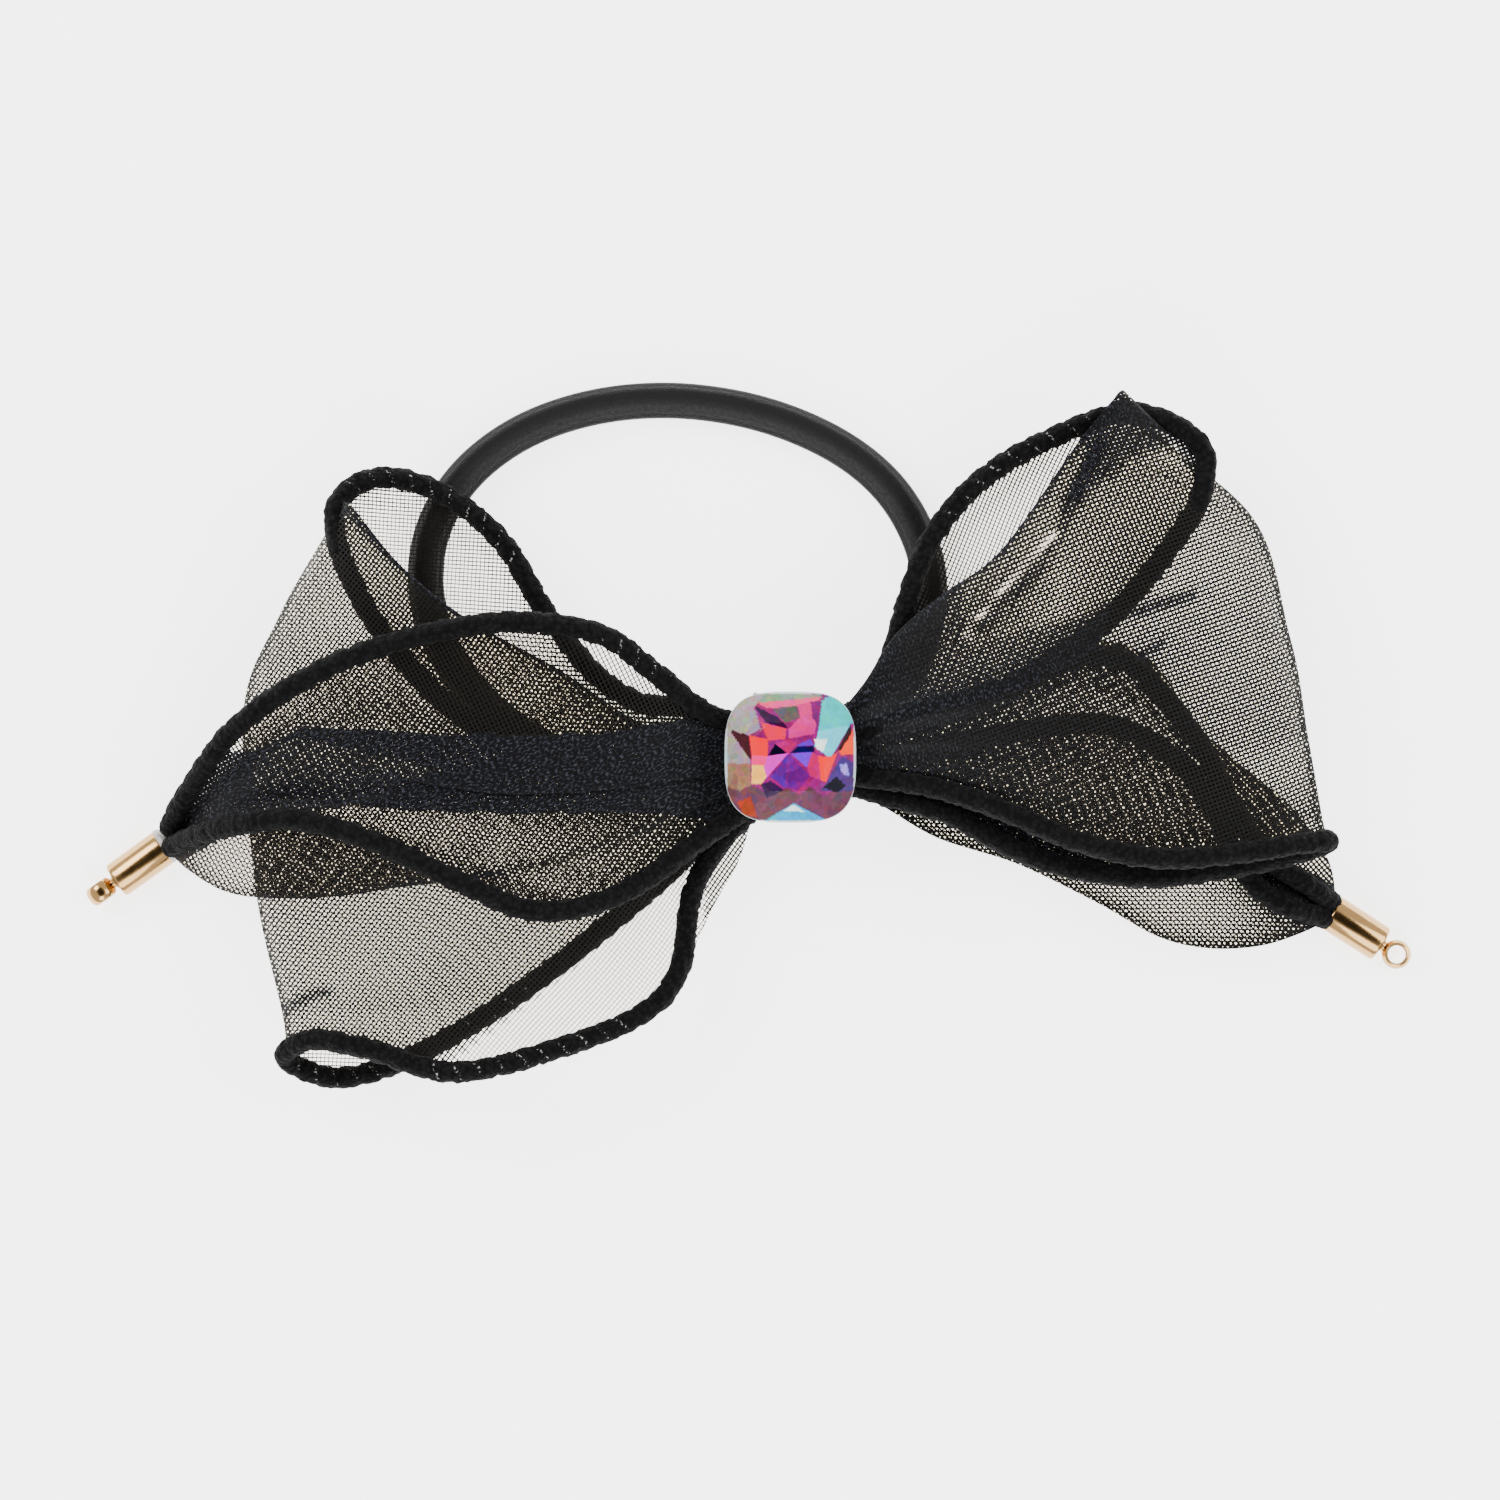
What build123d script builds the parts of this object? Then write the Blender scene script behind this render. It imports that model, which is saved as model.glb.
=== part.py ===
"""Ribbon hair bow on a hair elastic: two loops, two tails with metal end caps, and a crystal.

The bow lies on its back. +X runs along the bow, +Y across it towards the hair elastic's far
side, and +Z is up, out of the crystal. The origin is on the flat back of the centre wrap,
under the middle of the crystal. Sizes are in millimetres.
"""

from build123d import *
from math import cos, hypot, radians, sin, tan
import os

# Driving dimensions of the whole bow
bow_length = 143.0  # eyelet to eyelet, along X
bow_height = 75.0  # lowest cord to highest corner, along Y
drawn_length = 143.0  # length and height at which the outlines below are drawn
drawn_height = 75.0

# Hair elastic
elastic_diameter = 3.8
elastic_core_diameter = 2.3
core_clearance = 0.05

# Centre of the bow
wrap_width = 9.2
wrap_half_height = 6.9
wrap_thickness = 0.55
wrap_corner = 3.0
elastic_play = 0.15  # between the elastic and the wrap's floor
bundle_length = 12.8
bundle_clearance = 0.4  # between the gathered bundle and the wrap
bundle_depth = 6.0
thread_width = 2.0
thread_thickness = 0.3

# Crystal
crystal_size = 14.0
crystal_corner = 4.6
crystal_back = 1.4
crystal_girdle = 0.6
crystal_crown = 2.6
crystal_back_inset = 1.0  # per side, from the girdle in to the flat back
crystal_crown_inset = 3.4  # per side, from the girdle in to the top of the crown
adhesive_radius = 3.8
adhesive_thickness = 0.4

# Ribbon and its edge cords
ribbon_thickness = 0.8
cord_diameter = 2.4
layer_gap = 0.3  # clear distance between pieces that move past each other
root_x = 11.0  # distance of both root hinges from the middle
root_radius = 2.4
root_half_width = 5.5
collar_thickness = 1.0  # the upper piece's gathered collar, round the lower piece's root

# End caps
cap_diameter = 3.8
cap_wall = 0.35
cap_length = 6.4
cap_seat = 3.0  # how far the gathered end goes in
neck_length = 1.8  # free gathered end between the hinge and the cap's mouth
glue_thickness = 0.15
glue_length = 0.9
eyelet_outer_radius = 1.55
eyelet_hole_radius = 0.95
eyelet_thickness = 2.0
eyelet_rounding = 0.4
eyelet_neck_radius = 0.4
eyelet_reach = 1.9  # from the cap's closed end to the middle of the eyelet

# Heights that follow from the sizes above
elastic_radius = elastic_diameter / 2
elastic_z = wrap_thickness + elastic_play + elastic_radius
bed = elastic_z + elastic_radius + layer_gap  # lowest level of the ribbons, over the elastic
root_z = bed + root_radius
bundle_floor = bed + ribbon_thickness / 2
wrap_top = bundle_floor + bundle_depth + bundle_clearance + wrap_thickness
crystal_floor = wrap_top + adhesive_thickness
section_reach = 60.0  # longer than any ribbon is wide


def stretched(value, fixed, factor):
    """Scale what lies beyond the fixed distance from the middle, and keep what lies inside it."""
    beyond = max(abs(value) - fixed, 0.0)
    within = min(abs(value), fixed)
    return (within + beyond * factor) * (1 if value >= 0 else -1)


def plan(x, y):
    """Place a drawn point of the outline on a bow of the driving length and height."""
    far_x = stretched(x, root_x, bow_length / drawn_length)
    far_y = stretched(y, root_half_width, bow_height / drawn_height)
    return (far_x, far_y)


def route(points):
    """Turn drawn (x, y, height over the bed) points into points of the part."""
    return [(*plan(x, y), bed + height) for x, y, height in points]


def corner_radii(points):
    """Radius of each corner: 0.45 of its shorter run over the tangent of half its turn."""
    radii = []
    for before, corner, after in zip(points, points[1:], points[2:]):
        run_in = Vector(*corner) - Vector(*before)
        run_out = Vector(*after) - Vector(*corner)
        shorter = min(run_in.length, run_out.length)
        radii.append(0.45 * shorter / tan(radians(run_in.get_angle(run_out)) / 2))
    return radii


def tube(name, points, radius, bore=0.0):
    """Sweep a round section along straight runs joined by arcs, and print what it measures."""
    radii = corner_radii(points)
    with BuildLine() as path:
        centre_line = FilletPolyline(*points, radius=radii)
    with BuildSketch(Plane(origin=centre_line @ 0, z_dir=centre_line % 0)) as section:
        Circle(radius)
        if bore:
            Circle(bore, mode=Mode.SUBTRACT)
    swept = sweep(sections=section.sketch, path=path.line)
    expected = section.sketch.area * centre_line.length
    print(name, "length", round(centre_line.length, 1), "radii", [round(r, 1) for r in radii])
    print(name, "volume over section times length", round(swept.volume / expected, 3))


def closed_face(points):
    """Fill the closed outline through the points."""
    with BuildLine() as outline:
        Polyline(*points, close=True)
    make_face(outline.edges())


def strip_outline(centres):
    """Outline of a ribbon's section: its centre line with half a thickness on each side."""
    upper = [(x, bed + height + ribbon_thickness / 2) for x, height in centres]
    lower = [(x, bed + height - ribbon_thickness / 2) for x, height in reversed(centres)]
    return upper + lower


def stretched_section(points):
    """Section points (x, height), with x stretched to the bow's length."""
    return [(plan(x, 0)[0], height) for x, height in points]


def collar(side, first_angle, last_angle):
    """Sketch the gathered collar that turns round a root, between two angles from +X."""
    angles = (first_angle, last_angle)
    if side < 0:
        angles = (180 - first_angle, 180 - last_angle)
    inner = root_radius + layer_gap
    outer = inner + collar_thickness
    far = 3 * outer
    with Locations((side * root_x, root_z)):
        Circle(outer)
        Circle(inner, mode=Mode.SUBTRACT)
    corners = [(side * root_x, root_z)]
    for angle in angles:
        corners.append((side * root_x + far * cos(radians(angle)), root_z + far * sin(radians(angle))))
    Polygon(*corners, align=None, mode=Mode.INTERSECT)


def crystal_outline(height, inset):
    """The crystal's rounded square at one height, drawn in by the inset on each side."""
    side = crystal_size - 2 * inset
    with BuildSketch(Plane.XY.offset(height)) as outline:
        RectangleRounded(side, side, crystal_corner * side / crystal_size)
    return outline.sketch.face()


def finish(piece, name):
    """Label a piece and write its STEP file."""
    piece.part.label = name
    export_step(piece.part, f"parts/{name}.step")


os.makedirs("parts", exist_ok=True)

# ---------------------------------------------------------------- hair elastic
# One ring of knitted elastic. It runs straight through the wrap and is cut at the middle of
# three straight runs, so that the far side can be drawn away from the knot.
left_split = (-37.4, 11.7)
right_split = (13.9, 23.75)
elastic_routes = {
    "left": [(0, 0), (-6.8, -2.5), (-14.4, -2.9), (-22.4, -1.1), (-29.8, 2.6), (-35.6, 8.2), left_split],
    "far": [
        left_split,
        (-39.2, 15.2),
        (-39.4, 22.9),
        (-36.0, 29.8),
        (-29.8, 34.9),
        (-22.0, 37.8),
        (-13.5, 38.7),
        (-5.0, 37.7),
        (2.4, 35.2),
        (8.4, 31.6),
        (12.6, 26.9),
        right_split,
    ],
    "right": [right_split, (15.2, 20.6), (14.9, 13.8), (12.0, 7.4), (6.8, 2.5), (0, 0)],
}
core_radius = elastic_core_diameter / 2
for stretch, flat_points in elastic_routes.items():
    points = [(x, y, elastic_z) for x, y in flat_points]
    with BuildPart() as elastic_sheath:
        tube(f"elastic {stretch}", points, elastic_radius, core_radius + core_clearance)
    finish(elastic_sheath, f"elastic_{stretch}_sheath")
    with BuildPart() as elastic_core:
        tube(f"core {stretch}", points, core_radius)
    finish(elastic_core, f"elastic_{stretch}_core")

# ---------------------------------------------------------------- centre of the bow
bundle_half_height = wrap_half_height - wrap_thickness - bundle_clearance - thread_thickness
bundle_middle = bundle_floor + bundle_depth / 2
bundle_corner = bundle_depth * 0.4
with BuildPart() as gathered_centre:
    with BuildSketch(Plane.YZ):
        with Locations((0, bundle_middle)):
            RectangleRounded(2 * bundle_half_height, bundle_depth, bundle_corner)
    extrude(amount=bundle_length / 2, both=True)
    fillet(gathered_centre.faces().filter_by(Axis.X).edges(), 0.8)
finish(gathered_centre, "gathered_centre")

with BuildPart() as binding_thread:
    with BuildSketch(Plane.YZ):
        with Locations((0, bundle_middle)):
            RectangleRounded(
                2 * (bundle_half_height + thread_thickness),
                bundle_depth + 2 * thread_thickness,
                bundle_corner + thread_thickness,
            )
            RectangleRounded(
                2 * bundle_half_height, bundle_depth, bundle_corner, mode=Mode.SUBTRACT
            )
    extrude(amount=thread_width / 2, both=True)
finish(binding_thread, "binding_thread")

with BuildPart() as centre_wrap:
    with BuildSketch(Plane.YZ):
        with Locations((0, wrap_top / 2)):
            RectangleRounded(2 * wrap_half_height, wrap_top, wrap_corner)
            RectangleRounded(
                2 * (wrap_half_height - wrap_thickness),
                wrap_top - 2 * wrap_thickness,
                wrap_corner - wrap_thickness,
                mode=Mode.SUBTRACT,
            )
    extrude(amount=wrap_width / 2, both=True)
finish(centre_wrap, "centre_wrap")

with BuildPart() as stone_adhesive:
    with BuildSketch(Plane.XY.offset(wrap_top)):
        Circle(adhesive_radius)
    extrude(amount=adhesive_thickness)
finish(stone_adhesive, "stone_adhesive")

girdle_floor = crystal_floor + crystal_back
girdle_top = girdle_floor + crystal_girdle
with BuildPart() as crystal_stone:
    extrude(crystal_outline(girdle_floor, 0), amount=crystal_girdle)
    loft([crystal_outline(crystal_floor, crystal_back_inset), crystal_outline(girdle_floor, 0)])
    crown_top = girdle_top + crystal_crown
    loft([crystal_outline(girdle_top, 0), crystal_outline(crown_top, crystal_crown_inset)])
finish(crystal_stone, "crystal_stone")

# ---------------------------------------------------------------- left loop
# A loop is a flattened teardrop of ribbon, seen along the fold at its outer end. Its back
# layer and its front layer have outlines of their own, because the ribbon is turned.
left_loop_section = [
    (-12.5, 4.0),
    (-24.0, 7.6),
    (-36.0, 9.8),
    (-50.0, 9.2),
    (-58.4, 6.4),
    (-58.4, 1.8),
    (-50.0, 0.3),
    (-30.0, 0.4),
    (-12.5, 1.0),
]
left_outer_edge = [(-49.4, 25.2), (-54.6, 15.0), (-58.6, 6.0), (-58.6, -10.0), (-57.0, -19.0), (-55.6, -27.0)]
left_front_outline = [
    (-11.5, 4.6),
    (-16.0, 4.6),
    (-24.6, 10.0),
    (-34.8, 15.6),
    (-41.7, 21.0),
    (-46.9, 27.0),
    *left_outer_edge,
    (-50.3, -28.3),
    (-44.9, -29.2),
    (-39.6, -31.3),
    (-33.2, -31.7),
    (-25.9, -29.7),
    (-20.9, -28.0),
    (-16.9, -25.6),
    (-14.2, -23.0),
    (-13.0, -18.0),
    (-12.8, -10.0),
    (-13.0, -5.2),
]
left_back_outline = [
    (-11.5, 4.6),
    (-16.5, 4.4),
    (-21.2, 6.5),
    (-24.8, 10.4),
    (-27.7, 14.8),
    (-32.3, 22.1),
    (-38.2, 26.9),
    (-45.0, 28.2),
    *left_outer_edge,
    (-52.6, -30.0),
    (-48.0, -32.4),
    (-42.4, -30.7),
    (-34.0, -26.4),
    (-24.4, -19.4),
    (-21.2, -16.2),
    (-17.5, -11.5),
    (-13.4, -5.2),
]
left_loop_split = 4.4  # height between the two layers


def loop_section(section):
    """Sketch a loop's section: the closed ribbon, a ribbon thickness in from its outline."""
    with BuildLine() as outline:
        FilletPolyline(*[(x, bed + height) for x, height in section], radius=1.0, close=True)
    make_face(outline.edges())
    offset(amount=-ribbon_thickness, mode=Mode.SUBTRACT)


with BuildPart() as left_loop_ribbon:
    with BuildSketch(Plane.XY):
        closed_face([plan(x, y) for x, y in left_back_outline])
    extrude(amount=bed + left_loop_split)
    with BuildSketch(Plane.XY.offset(bed + left_loop_split)):
        closed_face([plan(x, y) for x, y in left_front_outline])
    extrude(amount=section_reach)
    with BuildSketch(Plane.XZ):
        loop_section(stretched_section(left_loop_section))
    extrude(amount=section_reach, both=True, mode=Mode.INTERSECT)
    with BuildSketch(Plane.XZ):
        with Locations((-root_x, root_z)):
            Circle(root_radius)
    extrude(amount=root_half_width, both=True)
finish(left_loop_ribbon, "left_loop_ribbon")

# ---------------------------------------------------------------- right loop
# Its outer fold is turned, so its section stands at an angle to the bow's length.
right_fold_turn = 18.4
right_loop_section = [
    (10.5, 7.4),
    (24.0, 9.6),
    (38.0, 12.6),
    (50.0, 12.0),
    (55.4, 9.6),
    (55.4, 5.8),
    (48.0, 4.2),
    (30.0, 4.3),
    (18.0, 4.8),
    (10.5, 5.0),
]
right_outer_edge = [(43.9, 33.4), (48.7, 27.0), (52.4, 17.9), (54.6, 7.2), (56.4, -3.0), (56.6, -7.4)]
right_front_outline = [
    (12.3, -2.0),
    (12.3, 8.0),
    (16.1, 16.5),
    (22.5, 21.8),
    (27.8, 29.2),
    (33.2, 36.2),
    (35.1, 38.9),
    *right_outer_edge,
    (49.0, -8.6),
    (43.9, -9.2),
    (38.5, -9.0),
    (30.6, -7.2),
    (23.0, -3.9),
    (18.6, -2.5),
]
right_back_outline = [
    (12.3, -3.5),
    (12.6, 6.0),
    (13.6, 12.0),
    (15.2, 19.8),
    (18.6, 25.2),
    (24.0, 29.9),
    (31.0, 33.4),
    (36.5, 34.8),
    (41.0, 33.6),
    *right_outer_edge,
    (49.0, -9.4),
    (43.9, -10.6),
    (36.0, -11.0),
    (27.8, -9.2),
    (20.3, -5.2),
    (16.0, -3.8),
]
right_loop_split = 7.0
turn_cos = cos(radians(right_fold_turn))
turn_sin = sin(radians(right_fold_turn))
turned_section = Plane(origin=(0, 0, 0), x_dir=(turn_cos, turn_sin, 0), z_dir=(turn_sin, -turn_cos, 0))

with BuildPart() as right_loop_ribbon:
    with BuildSketch(Plane.XY):
        closed_face([plan(x, y) for x, y in right_back_outline])
    extrude(amount=bed + right_loop_split)
    with BuildSketch(Plane.XY.offset(bed + right_loop_split)):
        closed_face([plan(x, y) for x, y in right_front_outline])
    extrude(amount=section_reach)
    with BuildSketch(turned_section):
        loop_section(stretched_section(right_loop_section))
    extrude(amount=section_reach, both=True, mode=Mode.INTERSECT)
    with BuildSketch(Plane.XZ):
        collar(1, 45, 85)
    extrude(amount=root_half_width, both=True)
finish(right_loop_ribbon, "right_loop_ribbon")

# ---------------------------------------------------------------- tails
left_tail_section = [
    (-12.0, 5.4),
    (-16.0, 7.4),
    (-24.0, 9.6),
    (-36.0, 11.6),
    (-50.0, 11.2),
    (-58.5, 9.0),
    (-61.8, 4.9),
    (-64.6, 0.6),
]
left_tail_outline = [
    (-11.4, 5.4),
    (-15.0, 9.0),
    (-20.3, 13.4),
    (-28.9, 15.0),
    (-37.5, 14.0),
    (-46.0, 11.6),
    (-53.5, 8.0),
    (-59.9, 3.4),
    (-65.2, -3.0),
    (-66.0, -7.0),
    (-65.6, -11.0),
    (-61.5, -14.6),
    (-53.5, -15.3),
    (-44.9, -14.8),
    (-35.3, -14.4),
    (-26.8, -17.2),
    (-18.2, -15.4),
    (-11.4, -6.0),
]
with BuildPart() as left_tail_ribbon:
    with BuildSketch(Plane.XZ):
        closed_face(strip_outline(stretched_section(left_tail_section)))
    extrude(amount=section_reach, both=True)
    with BuildSketch(Plane.XY):
        closed_face([plan(x, y) for x, y in left_tail_outline])
    extrude(amount=section_reach, mode=Mode.INTERSECT)
    with BuildSketch(Plane.XZ):
        collar(-1, 45, 85)
    extrude(amount=root_half_width, both=True)
finish(left_tail_ribbon, "left_tail_ribbon")

right_tail_section = [(11.0, 2.3), (13.5, 2.3), (18.0, 0.9), (50.0, 0.7), (55.0, 0.3), (57.6, 0.0)]
right_tail_outline = [
    (11.0, 4.6),
    (20.0, 7.2),
    (26.8, 10.4),
    (31.0, 12.0),
    (35.0, 12.0),
    (39.0, 9.8),
    (43.3, 3.4),
    (50.3, -2.5),
    (55.6, -6.7),
    (58.0, -11.0),
    (57.6, -15.5),
    (55.6, -19.0),
    (48.1, -20.7),
    (39.6, -19.6),
    (33.2, -15.8),
    (24.6, -11.6),
    (16.1, -8.9),
    (11.0, -5.2),
]
with BuildPart() as right_tail_ribbon:
    with BuildSketch(Plane.XZ):
        closed_face(strip_outline(stretched_section(right_tail_section)))
    extrude(amount=section_reach, both=True)
    with BuildSketch(Plane.XY):
        closed_face([plan(x, y) for x, y in right_tail_outline])
    extrude(amount=section_reach, mode=Mode.INTERSECT)
    with BuildSketch(Plane.XZ):
        with Locations((root_x, root_z)):
            Circle(root_radius)
    extrude(amount=root_half_width, both=True)
finish(right_tail_ribbon, "right_tail_ribbon")

# ---------------------------------------------------------------- edge cords
# Each cord runs out along one layer's edge, round the fold, and back along the other's.
cord_routes = {
    "left_loop_top_cord": [
        (-11.0, 7.0, 2.3),
        (-16.5, 6.6, 1.8),
        (-21.5, 9.2, 1.5),
        (-26.2, 15.5, 1.5),
        (-31.0, 23.2, 1.5),
        (-37.5, 28.4, 1.5),
        (-44.0, 30.0, 2.4),
        (-48.8, 28.0, 4.9),
        (-49.0, 22.6, 6.9),
        (-45.5, 16.3, 7.1),
        (-41.0, 10.0, 7.1),
        (-34.0, 3.6, 6.8),
        (-24.6, -0.3, 4.8),
        (-18.5, -1.2, 3.3),
    ],
    "left_loop_bottom_cord": [
        (-9.9, -7.2, 2.4),
        (-10.4, -15.0, 2.4),
        (-11.6, -22.8, 2.6),
        (-16.0, -27.6, 3.9),
        (-25.7, -31.4, 6.9),
        (-36.0, -33.8, 8.9),
        (-44.9, -30.9, 8.6),
        (-51.0, -30.4, 7.4),
        (-55.2, -31.4, 3.9),
        (-50.0, -34.6, 0.8),
        (-42.0, -32.8, 0.4),
        (-33.2, -28.1, 0.6),
        (-23.5, -21.2, 1.0),
        (-15.5, -14.5, 1.6),
        (-12.9, -9.2, 2.0),
    ],
    "left_tail_top_cord": [
        (-13.2, 6.0, 8.4),
        (-18.5, 11.8, 10.1),
        (-26.0, 14.6, 11.8),
        (-36.0, 13.8, 13.4),
        (-46.0, 10.9, 13.3),
        (-54.2, 6.6, 12.4),
        (-60.6, 1.2, 9.8),
        (-64.4, -4.0, 5.2),
        (-66.0, -6.6, 2.2),
    ],
    "left_tail_bottom_cord": [
        (-12.8, -5.6, 8.2),
        (-18.5, -13.8, 9.8),
        (-27.0, -16.4, 11.9),
        (-35.5, -13.6, 13.4),
        (-44.0, -9.2, 13.5),
        (-52.4, -6.9, 12.8),
        (-59.6, -7.6, 11.0),
        (-63.9, -9.2, 5.9),
        (-65.6, -10.2, 2.2),
    ],
    "right_loop_top_cord": [
        (11.4, 7.2, 5.6),
        (11.9, 13.0, 5.6),
        (13.2, 20.0, 5.6),
        (17.0, 26.8, 5.7),
        (23.4, 32.2, 5.8),
        (31.0, 35.8, 6.2),
        (37.4, 37.2, 7.2),
        (42.8, 35.4, 8.0),
        (44.4, 30.6, 8.7),
        (42.2, 24.6, 9.4),
        (37.0, 17.4, 9.9),
        (30.0, 11.4, 8.7),
        (24.5, 8.2, 7.3),
    ],
    "right_loop_bottom_cord": [
        (14.4, -4.6, 7.4),
        (22.5, -6.3, 9.9),
        (30.0, -9.3, 11.3),
        (38.5, -11.2, 12.4),
        (47.0, -10.9, 12.1),
        (53.6, -10.2, 10.8),
        (57.6, -9.4, 8.0),
        (53.4, -11.6, 5.3),
        (44.5, -12.9, 4.8),
        (35.0, -13.3, 4.8),
        (26.5, -11.4, 4.9),
        (18.5, -7.6, 5.1),
    ],
    "right_tail_top_cord": [
        (16.5, 3.8, 3.3),
        (22.5, 7.2, 2.6),
        (31.0, 10.6, 2.5),
        (36.5, 10.0, 2.5),
        (40.6, 6.0, 2.5),
        (44.4, 0.7, 2.5),
        (48.2, -5.2, 2.4),
        (51.5, -10.8, 2.2),
        (55.6, -13.9, 1.9),
    ],
    "right_tail_bottom_cord": [
        (16.5, -0.2, 3.4),
        (22.5, 2.2, 2.8),
        (31.0, 3.6, 2.5),
        (37.6, 2.2, 2.5),
        (42.2, -1.9, 2.5),
        (45.2, -7.6, 2.5),
        (49.0, -13.4, 2.4),
        (54.2, -17.0, 1.9),
    ],
}
for name, points in cord_routes.items():
    with BuildPart() as edge_cord:
        tube(name, route(points), cord_diameter / 2)
    finish(edge_cord, name)

# ---------------------------------------------------------------- end caps
# Each tail's gathered end is glued into a drawn metal cap with an eyelet on its closed end.
cap_radius = cap_diameter / 2
end_radius = cap_radius - cap_wall - core_clearance
cap_places = {"left": ((-67.6, -9.7), (-0.812, -0.584)), "right": ((58.5, -16.8), (0.84, -0.543))}
for side, (drawn_mouth, direction) in cap_places.items():
    along = Vector(direction[0], direction[1], 0) / hypot(*direction)
    mouth = Vector(*plan(*drawn_mouth), cap_radius)
    hinge = mouth - along * neck_length
    closed_end = mouth + along * cap_length
    eyelet = closed_end + along * eyelet_reach

    with BuildPart() as tail_end:
        with BuildSketch(Plane(origin=hinge, z_dir=along)):
            Circle(end_radius)
        extrude(amount=neck_length + cap_seat)
        with Locations(hinge):
            Sphere(end_radius)
    finish(tail_end, f"{side}_tail_end")

    with BuildPart() as end_cap:
        with BuildSketch(Plane(origin=mouth, z_dir=along)):
            Circle(cap_radius)
        extrude(amount=cap_length)
        with BuildSketch(Plane(origin=mouth, z_dir=along)):
            Circle(cap_radius - cap_wall)
        extrude(amount=cap_length - cap_wall, mode=Mode.SUBTRACT)
    finish(end_cap, f"{side}_end_cap")

    with BuildPart() as cap_glue:
        with BuildSketch(Plane(origin=mouth, z_dir=-along)):
            Circle(cap_radius - glue_thickness)
            Circle(end_radius + core_clearance, mode=Mode.SUBTRACT)
        extrude(amount=glue_length)
    finish(cap_glue, f"{side}_cap_glue")

    # The left eyelet stands on edge and the right one lies flat.
    hole_axis = Vector(0, 0, 1) if side == "right" else Vector(-along.Y, along.X, 0)
    with BuildPart() as cap_eyelet:
        with BuildSketch(Plane(origin=eyelet, z_dir=hole_axis)):
            Circle(eyelet_outer_radius)
        extrude(amount=eyelet_thickness / 2, both=True)
        fillet(cap_eyelet.edges().filter_by(GeomType.CIRCLE), radius=eyelet_rounding)
        with BuildSketch(Plane(origin=closed_end, z_dir=along)):
            Circle(eyelet_neck_radius)
        extrude(amount=eyelet_reach)
        with BuildSketch(Plane(origin=eyelet, z_dir=hole_axis)):
            Circle(eyelet_hole_radius)
        extrude(amount=eyelet_thickness, both=True, mode=Mode.SUBTRACT)
    finish(cap_eyelet, f"{side}_cap_eyelet")
    print(side, "hinge", [round(v, 3) for v in hinge], "eyelet", [round(v, 3) for v in eyelet])

print("bed", round(bed, 3), "root", root_x, round(root_z, 3), "elastic", round(elastic_z, 3))
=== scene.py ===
"""Dresses the hair bow: sheer ribbon loops and tails, corded edges, elastic, crystal and end caps."""

import math

import bmesh
import bpy
from bpy.props import FloatProperty, FloatVectorProperty, PointerProperty
from bpy.types import Operator, Panel, PropertyGroup
from mathutils import Matrix, Vector, noise
from mathutils.geometry import intersect_point_line


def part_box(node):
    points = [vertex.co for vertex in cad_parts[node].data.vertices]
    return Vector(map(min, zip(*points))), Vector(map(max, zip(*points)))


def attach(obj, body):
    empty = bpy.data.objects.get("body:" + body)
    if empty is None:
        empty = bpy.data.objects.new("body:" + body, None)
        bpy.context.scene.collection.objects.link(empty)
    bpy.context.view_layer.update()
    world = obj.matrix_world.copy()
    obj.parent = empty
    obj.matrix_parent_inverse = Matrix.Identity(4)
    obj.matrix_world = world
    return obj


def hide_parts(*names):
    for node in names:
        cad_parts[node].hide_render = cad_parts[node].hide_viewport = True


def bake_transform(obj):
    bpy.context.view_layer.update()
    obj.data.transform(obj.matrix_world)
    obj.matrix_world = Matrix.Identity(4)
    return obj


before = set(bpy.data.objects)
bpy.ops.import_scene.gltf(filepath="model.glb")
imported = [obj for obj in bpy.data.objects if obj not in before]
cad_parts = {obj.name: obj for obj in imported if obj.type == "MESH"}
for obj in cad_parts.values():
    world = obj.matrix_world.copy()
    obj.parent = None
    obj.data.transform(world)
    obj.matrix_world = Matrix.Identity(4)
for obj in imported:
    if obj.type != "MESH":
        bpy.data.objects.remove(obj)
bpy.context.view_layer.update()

bl_info = {
    "name": "Ribbon Hair Bow",
    "version": (1, 0, 0),
    "blender": (4, 5, 0),
    "location": "View3D > Sidebar > Hair Bow",
    "description": "Builds a sheer ribbon hair bow on an elastic, with a crystal and end caps",
    "category": "Object",
}

MM = 0.001
THREAD_SEED = 11
MERGE_DISTANCE = 1e-7
SHARP_ANGLE = math.radians(35)
# Gathers of a sheet: how fast they fade away from the knot, their height in millimetres, and how soon they
# rise from the corded rims.
GATHER_FADE, GATHER_HEIGHT, RIM_RISE = 4.5, 0.25, 12
# Packing of a sheet: how strongly squeezed cloth packs, its least squeeze and its greatest packing.
PACKING_POWER, LEAST_SQUEEZE, MOST_PACKING = 0.6, 0.9, 16.0
# A crease stops mattering at this many half widths. A loop's fold packs the cloth by this much, over this width.
CREASE_REACH, FOLD_PACKING, FOLD_WIDTH = 2.5, 1.6, 0.5
# Threads wander by this many metres, this many times a metre.
THREAD_WANDER, WANDER_RATE = 0.0011, 45
# Tubes: width of a groove, and place and width of the painted highlight along the elastic's upper side, in radians,
# and depth and width of a stitch's dent.
GROOVE_WIDTH, HIGHLIGHT_PLACE, HIGHLIGHT_WIDTH, DENT_DEPTH, DENT_WIDTH = 0.22, 1.15, 0.28, 0.13, 0.13
# The stitches glint on this part of the cord's girth.
STITCH_FROM, STITCH_TO = 0.14, 0.36
# A hinge's height, a bend's reach each way and how far out the hinges stand; no ribbon is bent over them.
HINGE_HEIGHT, BEND_REACH, HINGE_OUT = 7.2 * MM, 3 * MM, 11 * MM
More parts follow.
